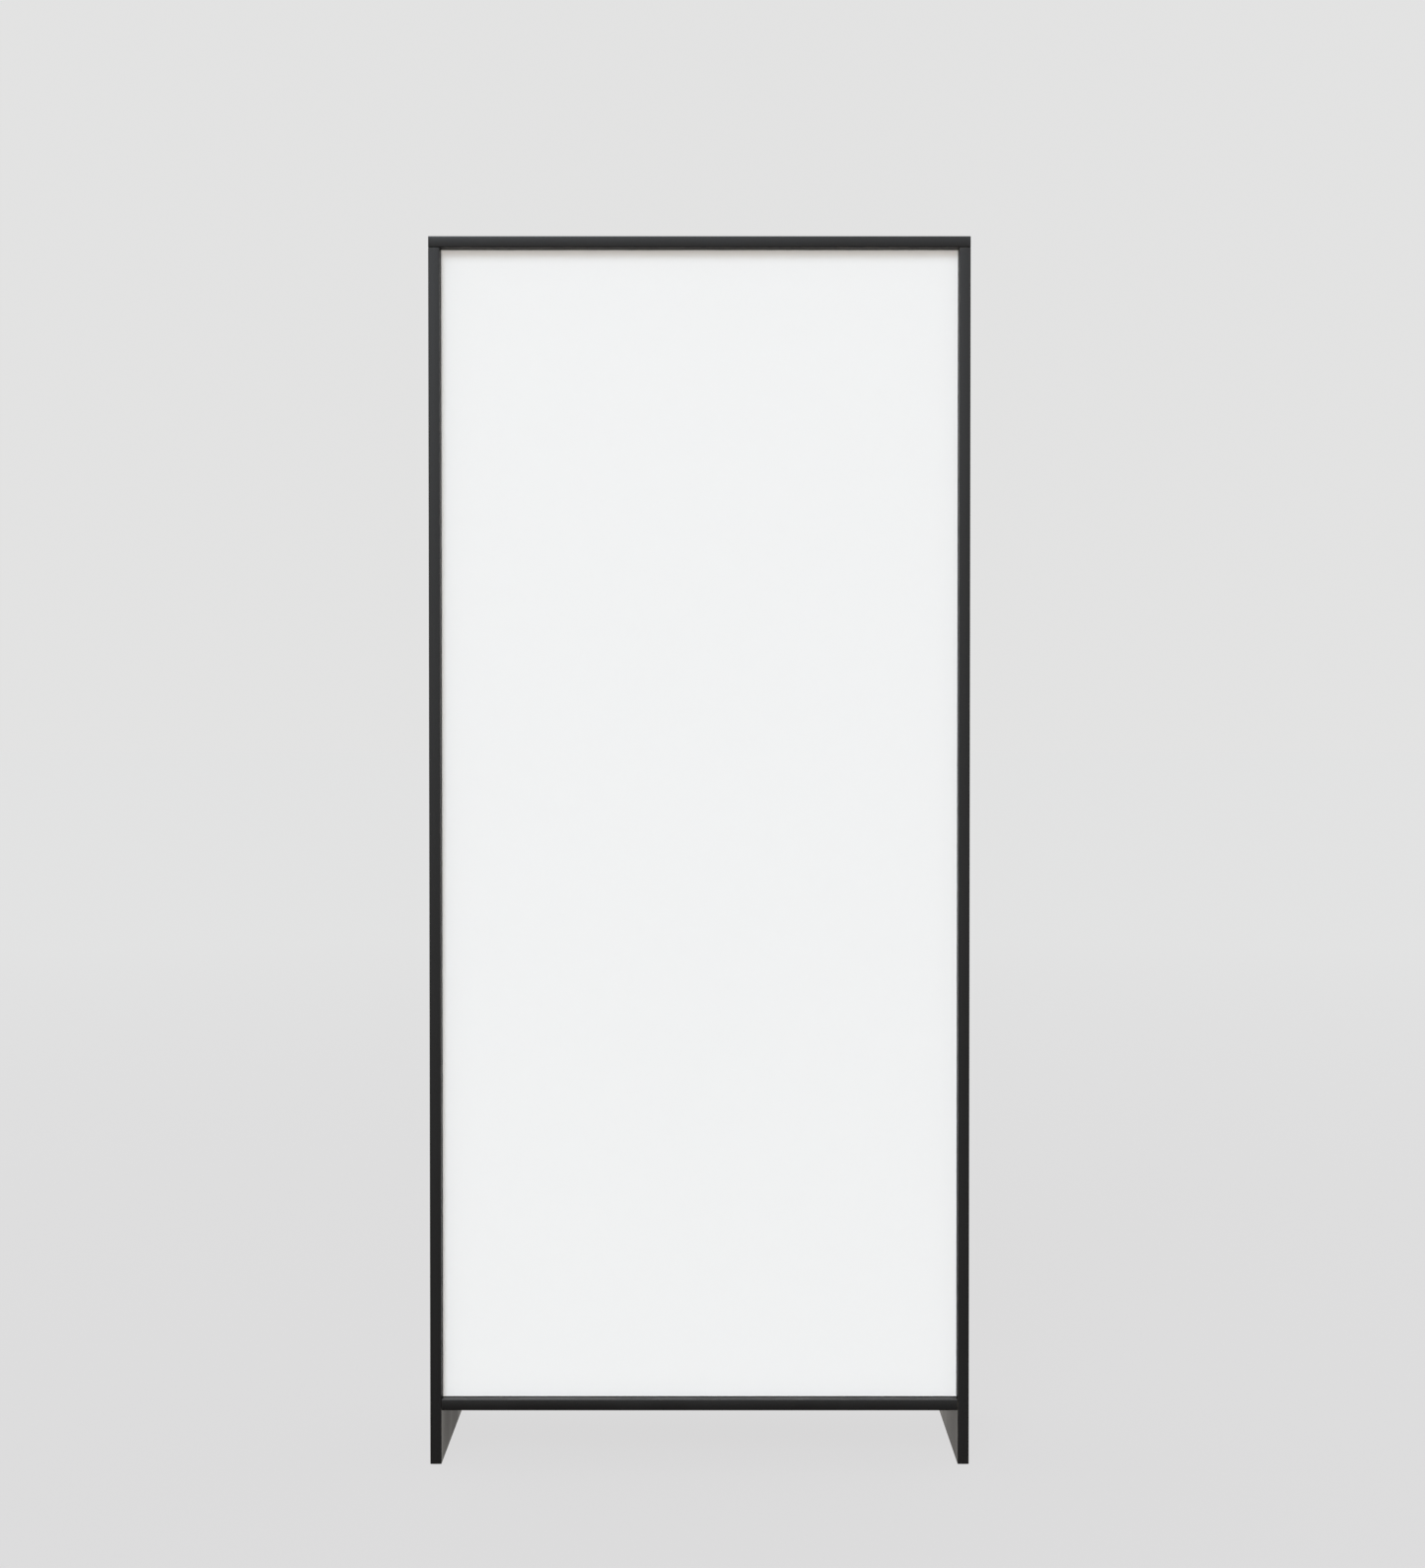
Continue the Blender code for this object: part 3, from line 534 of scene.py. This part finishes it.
# %% [markdown]
# ## The boards
#
# Each board is MDF with laminate on both faces, and its front and back edges are closed by a 2 mm strip of
# ABS, glued on and trimmed to a soft arris. The CAD board is right in shape but is one solid. A copy of it
# is merged and cut with bisect into a core and two edging strips that fit exactly. Modelling the strips
# from new would risk a gap along two and a half metres.

# %% Cutting a board into core and edging
EDGING = 0.002
NO_GAP = 0.00001
SKIN = 0.0008


def merged_copy(node):
    pick(frame["nodes"][node])
    bpy.ops.object.duplicate()
    made = bpy.context.object
    made.parent = None
    for key in list(made.keys()):
        del made[key]
    settle(made)
    choose_faces(made, lambda centre, normal: True)
    bpy.ops.mesh.dissolve_limited(angle_limit=math.radians(0.3))
    bpy.ops.object.mode_set(mode="OBJECT")
    return made


def cut_away(piece, point, direction):
    """Removes what lies beyond a plane and closes the cut."""
    choose_faces(piece, lambda centre, normal: True)
    plane = {"plane_co": point, "plane_no": direction, "threshold": 0.000001}
    bpy.ops.mesh.bisect(use_fill=True, clear_outer=True, **plane)
    bpy.ops.object.mode_set(mode="OBJECT")
    return piece


def bare_inside(piece, box, second):
    """Gives the second finish to every face that lies deeper than the skin, such as the wall of a hole."""
    low, high = box
    piece.data.materials.append(second)

    def is_deep(centre, normal):
        return all(a + SKIN < c < b - SKIN for a, c, b in zip(low, centre, high))

    choose_faces(piece, is_deep)
    piece.active_material_index = 1
    bpy.ops.object.material_slot_assign()
    bpy.ops.object.mode_set(mode="OBJECT")


EDGE_FINISH = {
    "left_side": (0.40, 0.30), "right_side": (0.40, 0.30),
    "top_board": (0.31, 0.23), "bottom_board": (0.36, 0.37),
}
for node, (roughness, sheen) in EDGE_FINISH.items():
    low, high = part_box(node)
    sheet = laminate(f"{node} laminate", (low, high), 0.43, pebble=0.00003, unevenness=0.07)
    strip = laminate(f"{node} edging", (low, high), roughness, pebble=0.000012, specular=sheen)
    core = merged_copy(node)
    for face, way in FACES.items():
        edge = high.y if way > 0 else low.y
        band = put_copy(core, Matrix())
        cut_away(core, (0, edge - way * EDGING, 0), (0, way, 0))
        cut_away(band, (0, edge - way * (EDGING - NO_GAP), 0), (0, -way, 0))
        hand_over(settle(band), f"{node}_{face}_edging", node, strip, stands_for=False)
    hand_over(settle(core), f"{node}_core", node, sheet)
    bare_inside(core, (low, high), raw_mdf)
    print(node, "core", len(core.data.polygons), "faces")

# %% [markdown]
# ## The display panels
#
# A panel is 16 mm MDF, painted on its face and edges. It has no visible fixing: six clips on its back push
# into battens inside the frame. Its shape is right as it is, so a merged copy only gets three finishes:
# paint where people look, primer on the back, and bare fibre in the sockets of the clips.

# %% Two panels
for face, way in FACES.items():
    node = f"{face}_panel"
    low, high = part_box(node)
    panel = hand_over(merged_copy(node), f"{face}_display_panel", node, paint(f"{node} paint", (low, high)))
    bare_inside(panel, (low, high), raw_mdf)
    back = low.y if way > 0 else high.y
    panel.data.materials.append(primer)
    choose_faces(panel, lambda centre, normal: abs(centre.y - back) < 0.0001 and abs(normal.y) > 0.9)
    panel.active_material_index = 2
    bpy.ops.object.material_slot_assign()
    bpy.ops.object.mode_set(mode="OBJECT")
    print(node, "finishes", [slot.material.name for slot in panel.material_slots])

# %% [markdown]
# ## Rails and battens
#
# The rails are plywood shelves with two large holes, which make them lighter to carry and let cables
# through. They come from the shop with their edges broken by a stroke of sandpaper, which a narrow bevel
# shows well: without it, an edge catches no light. The battens are planed pine with sharp edges, so their
# shape stays as the CAD has it and they only get their finish.

# %% Rails with broken edges, and battens
def sanded_edges(piece, width):
    pick(piece)
    bevel = piece.modifiers.new("sanded edges", "BEVEL")
    bevel.width = width
    bevel.segments = 2
    bevel.limit_method = "ANGLE"
    bevel.angle_limit = math.radians(50)
    bpy.ops.object.modifier_apply(modifier=bevel.name)
    bpy.ops.object.shade_smooth_by_angle(angle=math.radians(32))
    return piece


for node in ("lower_rail", "middle_rail", "upper_rail"):
    rail = sanded_edges(merged_copy(node), 0.0005)
    hand_over(rail, f"{node}_plywood", node, plywood(node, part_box(node)))
print("three rails of", len(rail.data.polygons), "faces")
for face in FACES:
    for hand in HANDS:
        node = f"batten_{face}_{hand}"
        batten = hand_over(merged_copy(node), f"{node}_pine", node, pine(node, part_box(node)))
print("four battens of", len(batten.data.polygons), "faces")

# %% [markdown]
# ## Round pieces
#
# Pads, inserts, clips, bolts and cams are all turned shapes. A lathe shape can be spun from a drawn
# profile, or drawn out step by step from a disc: extrude the end face, resize it, and go on. The second way
# is used here because each step is a radius and a height, as on a workshop drawing. For a ring, the walk
# comes back to its first circle, the two end faces are removed and the circles merge.

# %% Turning a piece from a disc
def turned(profile, facets=48, ring=False):
    """A round piece about Z, through (radius, height) points."""
    radius, height = profile[0]
    bpy.ops.object.select_all(action="DESELECT")
    disc = {"vertices": facets, "radius": radius, "fill_type": "NGON"}
    bpy.ops.mesh.primitive_circle_add(**disc, location=(0, 0, height))
    piece = bpy.context.object
    bpy.ops.object.transform_apply(location=True)
    choose_faces(piece, lambda centre, normal: True)
    for next_radius, next_height in profile[1:]:
        rise = (0, 0, next_height - height)
        bpy.ops.mesh.extrude_region_move(TRANSFORM_OT_translate={"value": rise})
        ratio = next_radius / radius
        bpy.ops.transform.resize(value=(ratio, ratio, 1), center_override=(0, 0, next_height))
        radius, height = next_radius, next_height
    bpy.ops.object.mode_set(mode="OBJECT")
    if ring:
        piece.data.polygons.foreach_set("select", [len(f.vertices) == facets for f in piece.data.polygons])
        bpy.ops.object.mode_set(mode="EDIT")
        bpy.ops.mesh.delete(type="ONLY_FACE")
    return settle(piece)


def shaped(piece, other, operation="DIFFERENCE"):
    """Cuts the other out of the piece, or joins it on, and clears the other away."""
    pick(piece)
    change = piece.modifiers.new("shape", "BOOLEAN")
    change.operation = operation
    change.solver = "EXACT"
    change.object = other
    bpy.ops.object.modifier_apply(modifier=change.name)
    clear_away(other)
    return settle(piece)


def open_edges(piece):
    """How many edges don't have exactly two faces; a closed piece has none."""
    count = {}
    for face in piece.data.polygons:
        for key in face.edge_keys:
            count[key] = count.get(key, 0) + 1
    return sum(n != 2 for n in count.values())


# %% [markdown]
# ## Threads
#
# A thread is a groove that climbs by its pitch in each turn. One tooth is drawn as a short line from root
# to crest to root, and the Screw modifier winds it up. Both ends come out ragged, so the thread is wound
# too long and then cut square with bisect. A texture of rings would look like a thread from afar, but rings
# don't climb.

# %% Winding a right-hand thread
def threaded(root, crest, pitch, foot, top, steps=32):
    """A closed threaded rod about Z from foot to top."""
    low = foot - 1.5 * pitch
    turns = math.ceil((top - foot) / pitch) + 3
    tooth = [(root, 0.06), (crest, 0.44), (crest, 0.56), (root, 0.94), (root, 1.06)]
    bpy.ops.object.select_all(action="DESELECT")
    bpy.ops.mesh.primitive_plane_add(size=0.001, location=(0, 0, 0))
    piece = bpy.context.object
    choose_faces(piece, lambda centre, normal: True)
    bpy.ops.mesh.merge(type="CENTER")
    bpy.ops.mesh.select_mode(type="VERT")
    bpy.ops.mesh.select_all(action="SELECT")
    bpy.ops.transform.translate(value=(tooth[0][0], 0, low + tooth[0][1] * pitch))
    for (x0, z0), (x1, z1) in zip(tooth, tooth[1:]):
        step = (x1 - x0, 0, (z1 - z0) * pitch)
        bpy.ops.mesh.extrude_vertices_move(TRANSFORM_OT_translate={"value": step})
    bpy.ops.object.mode_set(mode="OBJECT")
    screw = piece.modifiers.new("thread", "SCREW")
    screw.screw_offset = pitch
    screw.iterations = turns
    screw.steps = screw.render_steps = steps
    screw.use_merge_vertices = True
    screw.merge_threshold = 0.000001
    bpy.ops.object.modifier_apply(modifier=screw.name)
    choose_faces(piece, lambda centre, normal: True)
    bpy.ops.mesh.remove_doubles(threshold=0.000002)
    bpy.ops.object.mode_set(mode="OBJECT")
    cut_away(piece, (0, 0, top), (0, 0, 1))
    cut_away(piece, (0, 0, foot), (0, 0, -1))
    return settle(piece, 25)


# %% [markdown]
# ## The levellers
#
# A leveller is a screw hidden in the bottom edge of a side board. From the floor up it has a nylon pad that
# stays still, a hexagon for a spanner and an M8 thread that climbs in a barbed insert. A small hexagonal
# socket in its foot takes a key, to start it while the wall lies on its back. Its thread, hexagon and
# spigot are modelled apart and united, because no single profile can be both round and six-sided.

# %% The leveller's screw
def mm(length):
    return length / 1000


def hexagon(across_flats, foot, top):
    """A six-sided prism about Z, with corners along X."""
    height = top - foot
    bpy.ops.object.select_all(action="DESELECT")
    bpy.ops.mesh.primitive_cylinder_add(
        vertices=6, radius=across_flats / math.sqrt(3), depth=height,
        location=(0, 0, foot + height / 2), rotation=(0, 0, math.radians(30)),
    )
    piece = bpy.context.object
    bpy.ops.object.transform_apply(location=True, rotation=True)
    return piece


stem_low, stem_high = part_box("leveller_stem_front_left")
pad_low, pad_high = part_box("leveller_pad_front_left")
insert_low, insert_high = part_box("leveller_insert_front_left")
HEX_FOOT, HEX_TOP = pad_high.z + mm(0.3), insert_low.z - mm(0.6)

screw = threaded(mm(3.3), mm(4.0), mm(1.25), HEX_TOP - mm(1), stem_high.z)
tip = turned([
    (mm(4.3), HEX_TOP - mm(2)), (mm(4.3), stem_high.z - mm(0.9)), (mm(3.4), stem_high.z + mm(0.001)),
])
shaped(screw, tip, "INTERSECT")
nut = hexagon(mm(13), HEX_FOOT, HEX_TOP)
corners = turned([
    (mm(6.3), HEX_FOOT - mm(0.001)), (mm(7.7), HEX_FOOT + mm(0.8)),
    (mm(7.7), HEX_TOP - mm(0.8)), (mm(6.3), HEX_TOP + mm(0.001)),
])
shaped(nut, corners, "INTERSECT")
lip = stem_low.z
spigot = turned([
    (mm(4.5), lip), (mm(4.8), lip + mm(0.3)), (mm(4.8), lip + mm(0.8)), (mm(4.6), lip + mm(1.0)),
    (mm(3.6), lip + mm(1.0)), (mm(3.6), HEX_TOP - mm(1.5)),
])
shaped(screw, nut, "UNION")
shaped(screw, spigot, "UNION")
shaped(screw, hexagon(mm(4), lip - mm(2), lip + mm(6)))
print("screw:", len(screw.data.polygons), "faces,", open_edges(screw), "open edges")

# %% [markdown]
# The pad is a ring of nylon with a recess for the screw's riveted lip and two fine grooves that grip the
# floor. The insert is a ring with barbs, each flat on the side that must not slip back.

# %% Pad and insert
sole = pad_low.z
pad = turned([
    (mm(3.9), pad_high.z), (mm(3.9), sole + mm(2.1)), (mm(5.1), sole + mm(2.1)), (mm(5.1), sole),
    (mm(5.6), sole), (mm(5.75), sole + mm(0.3)), (mm(5.9), sole), (mm(6.3), sole), (mm(6.45), sole + mm(0.3)),
    (mm(6.6), sole), (mm(7.1), sole), (mm(8.0), sole + mm(0.9)), (mm(8.0), pad_high.z - mm(0.3)),
    (mm(7.7), pad_high.z), (mm(3.9), pad_high.z),
], ring=True)
BARBS = 5
barb = (insert_high.z - insert_low.z) / BARBS
sleeve = [(mm(4.3), insert_high.z), (mm(4.3), insert_low.z)]
for i in range(BARBS):
    sleeve += [(mm(5.65), insert_low.z + i * barb), (mm(5.65), insert_low.z + i * barb + mm(0.3))]
    sleeve.append((mm(5.2), insert_low.z + (i + 1) * barb))
insert = turned(sleeve + [(mm(4.3), insert_high.z)], ring=True)
print("pad and insert:", open_edges(pad) + open_edges(insert), "open edges")

# %% [markdown]
# The three models stand on the axis at the origin. Each leveller needs its own copy of every one, under its
# own place in the side board, riding on its own body: the screw turns, the pad only travels, and the insert
# stays in the board. One loop over the corners puts all twelve in place, as a fitter would go round the
# wall.

# %% Four levellers
LEVELLER_PARTS = (
    (screw, "stem", "screw", steel), (pad, "pad", "foot", black_nylon), (insert, "insert", "sleeve", zinc),
)
for face in FACES:
    for hand in HANDS:
        low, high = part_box(f"leveller_stem_{face}_{hand}")
        under = Matrix.Translation(((low.x + high.x) / 2, (low.y + high.y) / 2, 0))
        for model, part, name, finish in LEVELLER_PARTS:
            node = f"leveller_{part}_{face}_{hand}"
            hand_over(put_copy(model, under), f"leveller_{name}_{face}_{hand}", node, finish)
clear_away(screw, pad, insert)
print("four levellers of three pieces")

# %% [markdown]
# ## The cam fittings
#
# A cam fitting pulls two boards together. The bolt is screwed into one board, and its head lies in a cam
# let into the other. A turn of the cam draws the head in. The cam is a turned drum. A slot in its wall
# holds the bolt's neck, and at one end the slot widens to a mouth that lets the head in. The slot is a
# rectangle swept round the axis with spin, then cut out.

# %% Sweeping a rectangle round the axis
def swept(inner, outer, half, start, end, steps):
    """A solid between two radii and two angles in degrees, as high above as below the origin."""
    bpy.ops.object.select_all(action="DESELECT")
    bpy.ops.mesh.primitive_plane_add(size=1, rotation=(math.radians(90), 0, 0))
    piece = bpy.context.object
    piece.scale = (outer - inner, 2 * half, 1)
    piece.location = ((outer + inner) / 2, 0, 0)
    bpy.ops.object.transform_apply(location=True, rotation=True, scale=True)
    choose_faces(piece, lambda centre, normal: True)
    bpy.ops.mesh.spin(steps=steps, angle=math.radians(start - end), center=(0, 0, 0), axis=(0, 0, 1))
    bpy.ops.object.mode_set(mode="OBJECT")
    piece.rotation_euler.z = math.radians(start)
    bpy.ops.object.transform_apply(rotation=True)
    return settle(piece)


def wedge(length, width, depth, top):
    """A block that narrows downwards, with its upper face a little above this height."""
    above = 0.001
    bpy.ops.object.select_all(action="DESELECT")
    bpy.ops.mesh.primitive_cube_add(size=1, location=(0, 0, top + (above - depth) / 2))
    piece = bpy.context.object
    piece.scale = (length, width, depth + above)
    bpy.ops.object.transform_apply(location=True, scale=True)
    choose_faces(piece, lambda centre, normal: normal.z < -0.9)
    bpy.ops.transform.resize(value=(0.75, 0.7, 1))
    bpy.ops.object.mode_set(mode="OBJECT")
    return piece


def cross_recess(piece, length, width, depth, top):
    """The cross that takes a screwdriver."""
    for size in ((length, width), (width, length)):
        shaped(piece, wedge(*size, depth, top))
    return piece


# %% [markdown]
# The cam itself is drawn from its foot up, with a fine groove under its rim, and then hollowed by three
# cuts: the slot for the neck, the mouth for the head and the round cavity where the head turns. It could be
# drawn hollow from the start, but cuts keep each space as a size of its own.

# %% The cam
TRAVEL = 170
CAM_RADIUS, CAVITY_RADIUS, HEAD_HALF, NECK_HALF = mm(7.4), mm(5.4), mm(3.8), mm(2.3)
GROOVE_RADIUS, CAM_FACE = mm(7.1), mm(11.2)
drum = turned([
    (mm(6.9), mm(-5.0)), (CAM_RADIUS, mm(-4.5)), (CAM_RADIUS, mm(9.5)), (GROOVE_RADIUS, mm(9.8)),
    (GROOVE_RADIUS, mm(10.3)), (CAM_RADIUS, mm(10.5)), (CAM_RADIUS, mm(10.9)), (GROOVE_RADIUS, CAM_FACE),
])
neck_angle = math.degrees(math.asin(NECK_HALF / CAVITY_RADIUS))
mouth_angle = math.degrees(math.asin(HEAD_HALF / (CAM_RADIUS - mm(1))))
slot = swept(CAVITY_RADIUS / 2, mm(9.4), NECK_HALF, -TRAVEL, neck_angle, 40)
turns = [round(math.degrees(math.atan2(corner.co.y, corner.co.x)), 1) for corner in slot.data.vertices]
print("slot from", min(turns), "to", max(turns), "degrees")
shaped(drum, slot)
mouth = swept(CAVITY_RADIUS / 2, mm(9.5), HEAD_HALF, -TRAVEL - mouth_angle, -TRAVEL + mouth_angle, 16)
shaped(drum, mouth)
shaped(drum, turned([(CAVITY_RADIUS, -HEAD_HALF), (CAVITY_RADIUS, HEAD_HALF)]))
cross_recess(drum, mm(6.6), mm(1.6), mm(4.0), CAM_FACE)
print("cam:", len(drum.data.polygons), "faces,", open_edges(drum), "open edges")

# %% [markdown]
# A small triangle on the rim of the cam's face shows where the mouth is, so the fitter knows which way to
# turn it before the bolt goes in. It is a three-sided cylinder, sunk nine tenths of a millimetre.

# %% The cam's mark
bpy.ops.object.select_all(action="DESELECT")
bpy.ops.mesh.primitive_cylinder_add(vertices=3, radius=mm(1.2), depth=mm(2.0), location=(0, 0, mm(11.3)))
mark = bpy.context.object
bpy.ops.object.transform_apply(location=True)
toward_mouth = Matrix.Rotation(math.radians(-TRAVEL), 4, "Z")
on_rim, point_out = Matrix.Translation((mm(5.5), 0, 0)), Matrix.Rotation(math.radians(-90), 4, "Z")
mark.matrix_world = toward_mouth @ on_rim @ point_out
bpy.ops.object.transform_apply(location=True, rotation=True)
shaped(drum, mark)
print("cam with its mark:", open_edges(drum), "open edges")

# %% [markdown]
# The bolt has a round head with a cross, a thin neck, a thick plain shank that fills its bore, and a coarse
# thread with a deep root, which bites well in fibreboard.

# %% The bolt
NECK_END, THREAD_START, BOLT_END = mm(8.0), mm(33.7), mm(44.7)
HEAD_RADIUS, NECK_RADIUS, SHANK_RADIUS = mm(3.5), mm(2.0), mm(3.6)
head_back = math.sqrt(CAVITY_RADIUS**2 - HEAD_RADIUS**2) - mm(0.3)
head_front = head_back - mm(2.6)
bolt = turned([
    (mm(2.8), head_front), (HEAD_RADIUS, head_front + mm(0.7)), (HEAD_RADIUS, head_back - mm(0.2)),
    (mm(3.3), head_back), (NECK_RADIUS, head_back), (NECK_RADIUS, NECK_END - mm(0.5)), (mm(2.2), NECK_END),
    (mm(3.4), NECK_END), (SHANK_RADIUS, NECK_END + mm(0.3)), (SHANK_RADIUS, THREAD_START - mm(2.6)),
    (mm(3.2), THREAD_START - mm(2.2)), (mm(3.2), THREAD_START - mm(1.6)),
    (SHANK_RADIUS, THREAD_START - mm(1.2)), (SHANK_RADIUS, THREAD_START),
], facets=40)
coarse = threaded(mm(1.6), mm(2.5), mm(2.0), THREAD_START - mm(0.5), BOLT_END)
point = turned([
    (mm(2.8), THREAD_START - mm(1)), (mm(2.8), BOLT_END - mm(2.2)), (mm(1.4), BOLT_END + mm(0.001)),
])
shaped(coarse, point, "INTERSECT")
shaped(bolt, coarse, "UNION")
bolt.rotation_euler.x = math.radians(180)
pick(bolt)
bpy.ops.object.transform_apply(rotation=True)
cross_recess(bolt, mm(4.2), mm(0.9), mm(1.6), -head_front)
print("bolt:", len(bolt.data.polygons), "faces,", open_edges(bolt), "open edges")

# %% [markdown]
# The record of joints gives each cam's axis and place, and the bolt points from there to the joint of the
# two boards. Two directions are enough for a turn: local X along the bolt and local Z out of the board.

# %% Eight fittings
def joint_named(name):
    return next(joint for joint in frame["joints"] if joint["name"] == name)


head_up = Matrix.Rotation(math.radians(-90), 4, "Y")
for level in LEVELS:
    for face in FACES:
        for hand, side in HANDS.items():
            ending = f"{level}_{face}_{hand}"
            joint = joint_named(f"cam_{ending}_turn")
            out = Vector(joint["axis"])
            along = Vector((0, 0, 1)) if level == "top" else Vector((side, 0, 0))
            turn = Matrix((along, out.cross(along), out)).transposed().to_4x4()
            place = Matrix.Translation(joint["pos_m"]) @ turn
            hand_over(put_copy(drum, place), f"cam_drum_{ending}", f"cam_{ending}", zinc)
            hand_over(put_copy(bolt, place @ head_up), f"cam_bolt_{ending}", f"bolt_{ending}", steel)
clear_away(drum, bolt)
print("eight cams and eight bolts")

# %% [markdown]
# ## The dowels
#
# A dowel keeps two boards level while the cams draw them together. Its flutes let glue and air out of the
# hole. They could be cut one by one, but drawing in every second corner of a many-sided rod gives all of
# them at once.

# %% A fluted dowel
FLUTES = 24
dowel = turned([
    (mm(2.9), mm(-12)), (mm(4.0), mm(-10.9)), (mm(4.0), mm(21.9)), (mm(2.9), mm(23)),
], facets=2 * FLUTES)
pick(dowel)
bpy.ops.object.mode_set(mode="EDIT")
bpy.ops.mesh.select_mode(type="VERT")
bpy.ops.mesh.select_all(action="DESELECT")
bpy.ops.object.mode_set(mode="OBJECT")
for corner in dowel.data.vertices:
    step = math.atan2(corner.co.y, corner.co.x) / math.tau * 2 * FLUTES
    corner.select = round(step) % 2 == 1
bpy.ops.object.mode_set(mode="EDIT")
bpy.ops.transform.resize(value=(0.91, 0.91, 1), center_override=(0, 0, 0))
bpy.ops.object.mode_set(mode="OBJECT")
settle(dowel, 12)
for level in LEVELS:
    for hand, side in HANDS.items():
        node = f"dowel_{level}_{hand}"
        low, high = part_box(node)
        inwards = Vector((0, 0, -1)) if level == "top" else Vector((-side, 0, 0))
        mouth = (low + high) / 2 - inwards * mm(5.5)
        place = Matrix.Translation(mouth) @ inwards.to_track_quat("Z", "Y").to_matrix().to_4x4()
        hand_over(put_copy(dowel, place), f"fluted_{node}", node, beech_wood)
clear_away(dowel)
print("four dowels of", FLUTES, "flutes")

# %% [markdown]
# ## The panel clips
#
# A clip's tail screws into the back of a panel, its flange lies flush in the socket, and its ribbed plug
# pushes into the batten. The ribs slope forwards and are flat behind, so it goes in more easily than it
# comes out, and a slit down the middle lets the plug spring. The tail has a real thread, like the
# levellers.

# %% A push-in clip
RIBS = 5
plug = [
    (mm(3.0), mm(-2.3)), (mm(8.5), mm(-2.0)), (mm(8.8), mm(-1.7)), (mm(8.8), mm(-0.3)), (mm(8.5), 0.0),
    (mm(3.5), 0.0),
]
for i in range(RIBS):
    foot = 1.6 + 2.8 * i
    plug += [
        (mm(3.4), mm(foot)), (mm(5.2), mm(foot)), (mm(5.2), mm(foot + 0.4)), (mm(3.4), mm(foot + 1.9)),
    ]
plug += [(mm(3.3), mm(15.2)), (mm(2.3), mm(16.2))]
clip = turned(plug, facets=40)
bpy.ops.object.select_all(action="DESELECT")
bpy.ops.mesh.primitive_cube_add(size=1, location=(0, 0, mm(11)))
slit = bpy.context.object
slit.scale = (mm(1.1), mm(14), mm(17))
bpy.ops.object.transform_apply(location=True, scale=True)
shaped(clip, slit)
tail = threaded(mm(2.1), mm(3.0), mm(1.8), mm(-11), mm(-1))
taper = turned([(mm(1.9), mm(-11.001)), (mm(3.2), mm(-9.4)), (mm(3.2), mm(-0.5))])
shaped(tail, taper, "INTERSECT")
shaped(clip, tail, "UNION")
print("clip:", len(clip.data.polygons), "faces,", open_edges(clip), "open edges")

# %% [markdown]
# A clip stands in its panel's back face, and points to the inside of the wall. Its node's box gives the
# middle of the socket, and the panel's box gives the face. The clips ride on the panel, since they come off
# with it.

# %% Six clips on each panel
for face, way in FACES.items():
    panel_low, panel_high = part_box(f"{face}_panel")
    back = panel_low.y if way > 0 else panel_high.y
    into_batten = Vector((0, -way, 0)).to_track_quat("Z", "Y").to_matrix().to_4x4()
    for hand in HANDS:
        for height in ("low", "mid", "high"):
            node = f"clip_{face}_{hand}_{height}"
            low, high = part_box(node)
            mouth = ((low.x + high.x) / 2, back, (low.z + high.z) / 2)
            place = Matrix.Translation(mouth) @ into_batten
            hand_over(put_copy(clip, place), f"push_in_{node}", node, white_nylon)
clear_away(clip)
print("twelve clips")
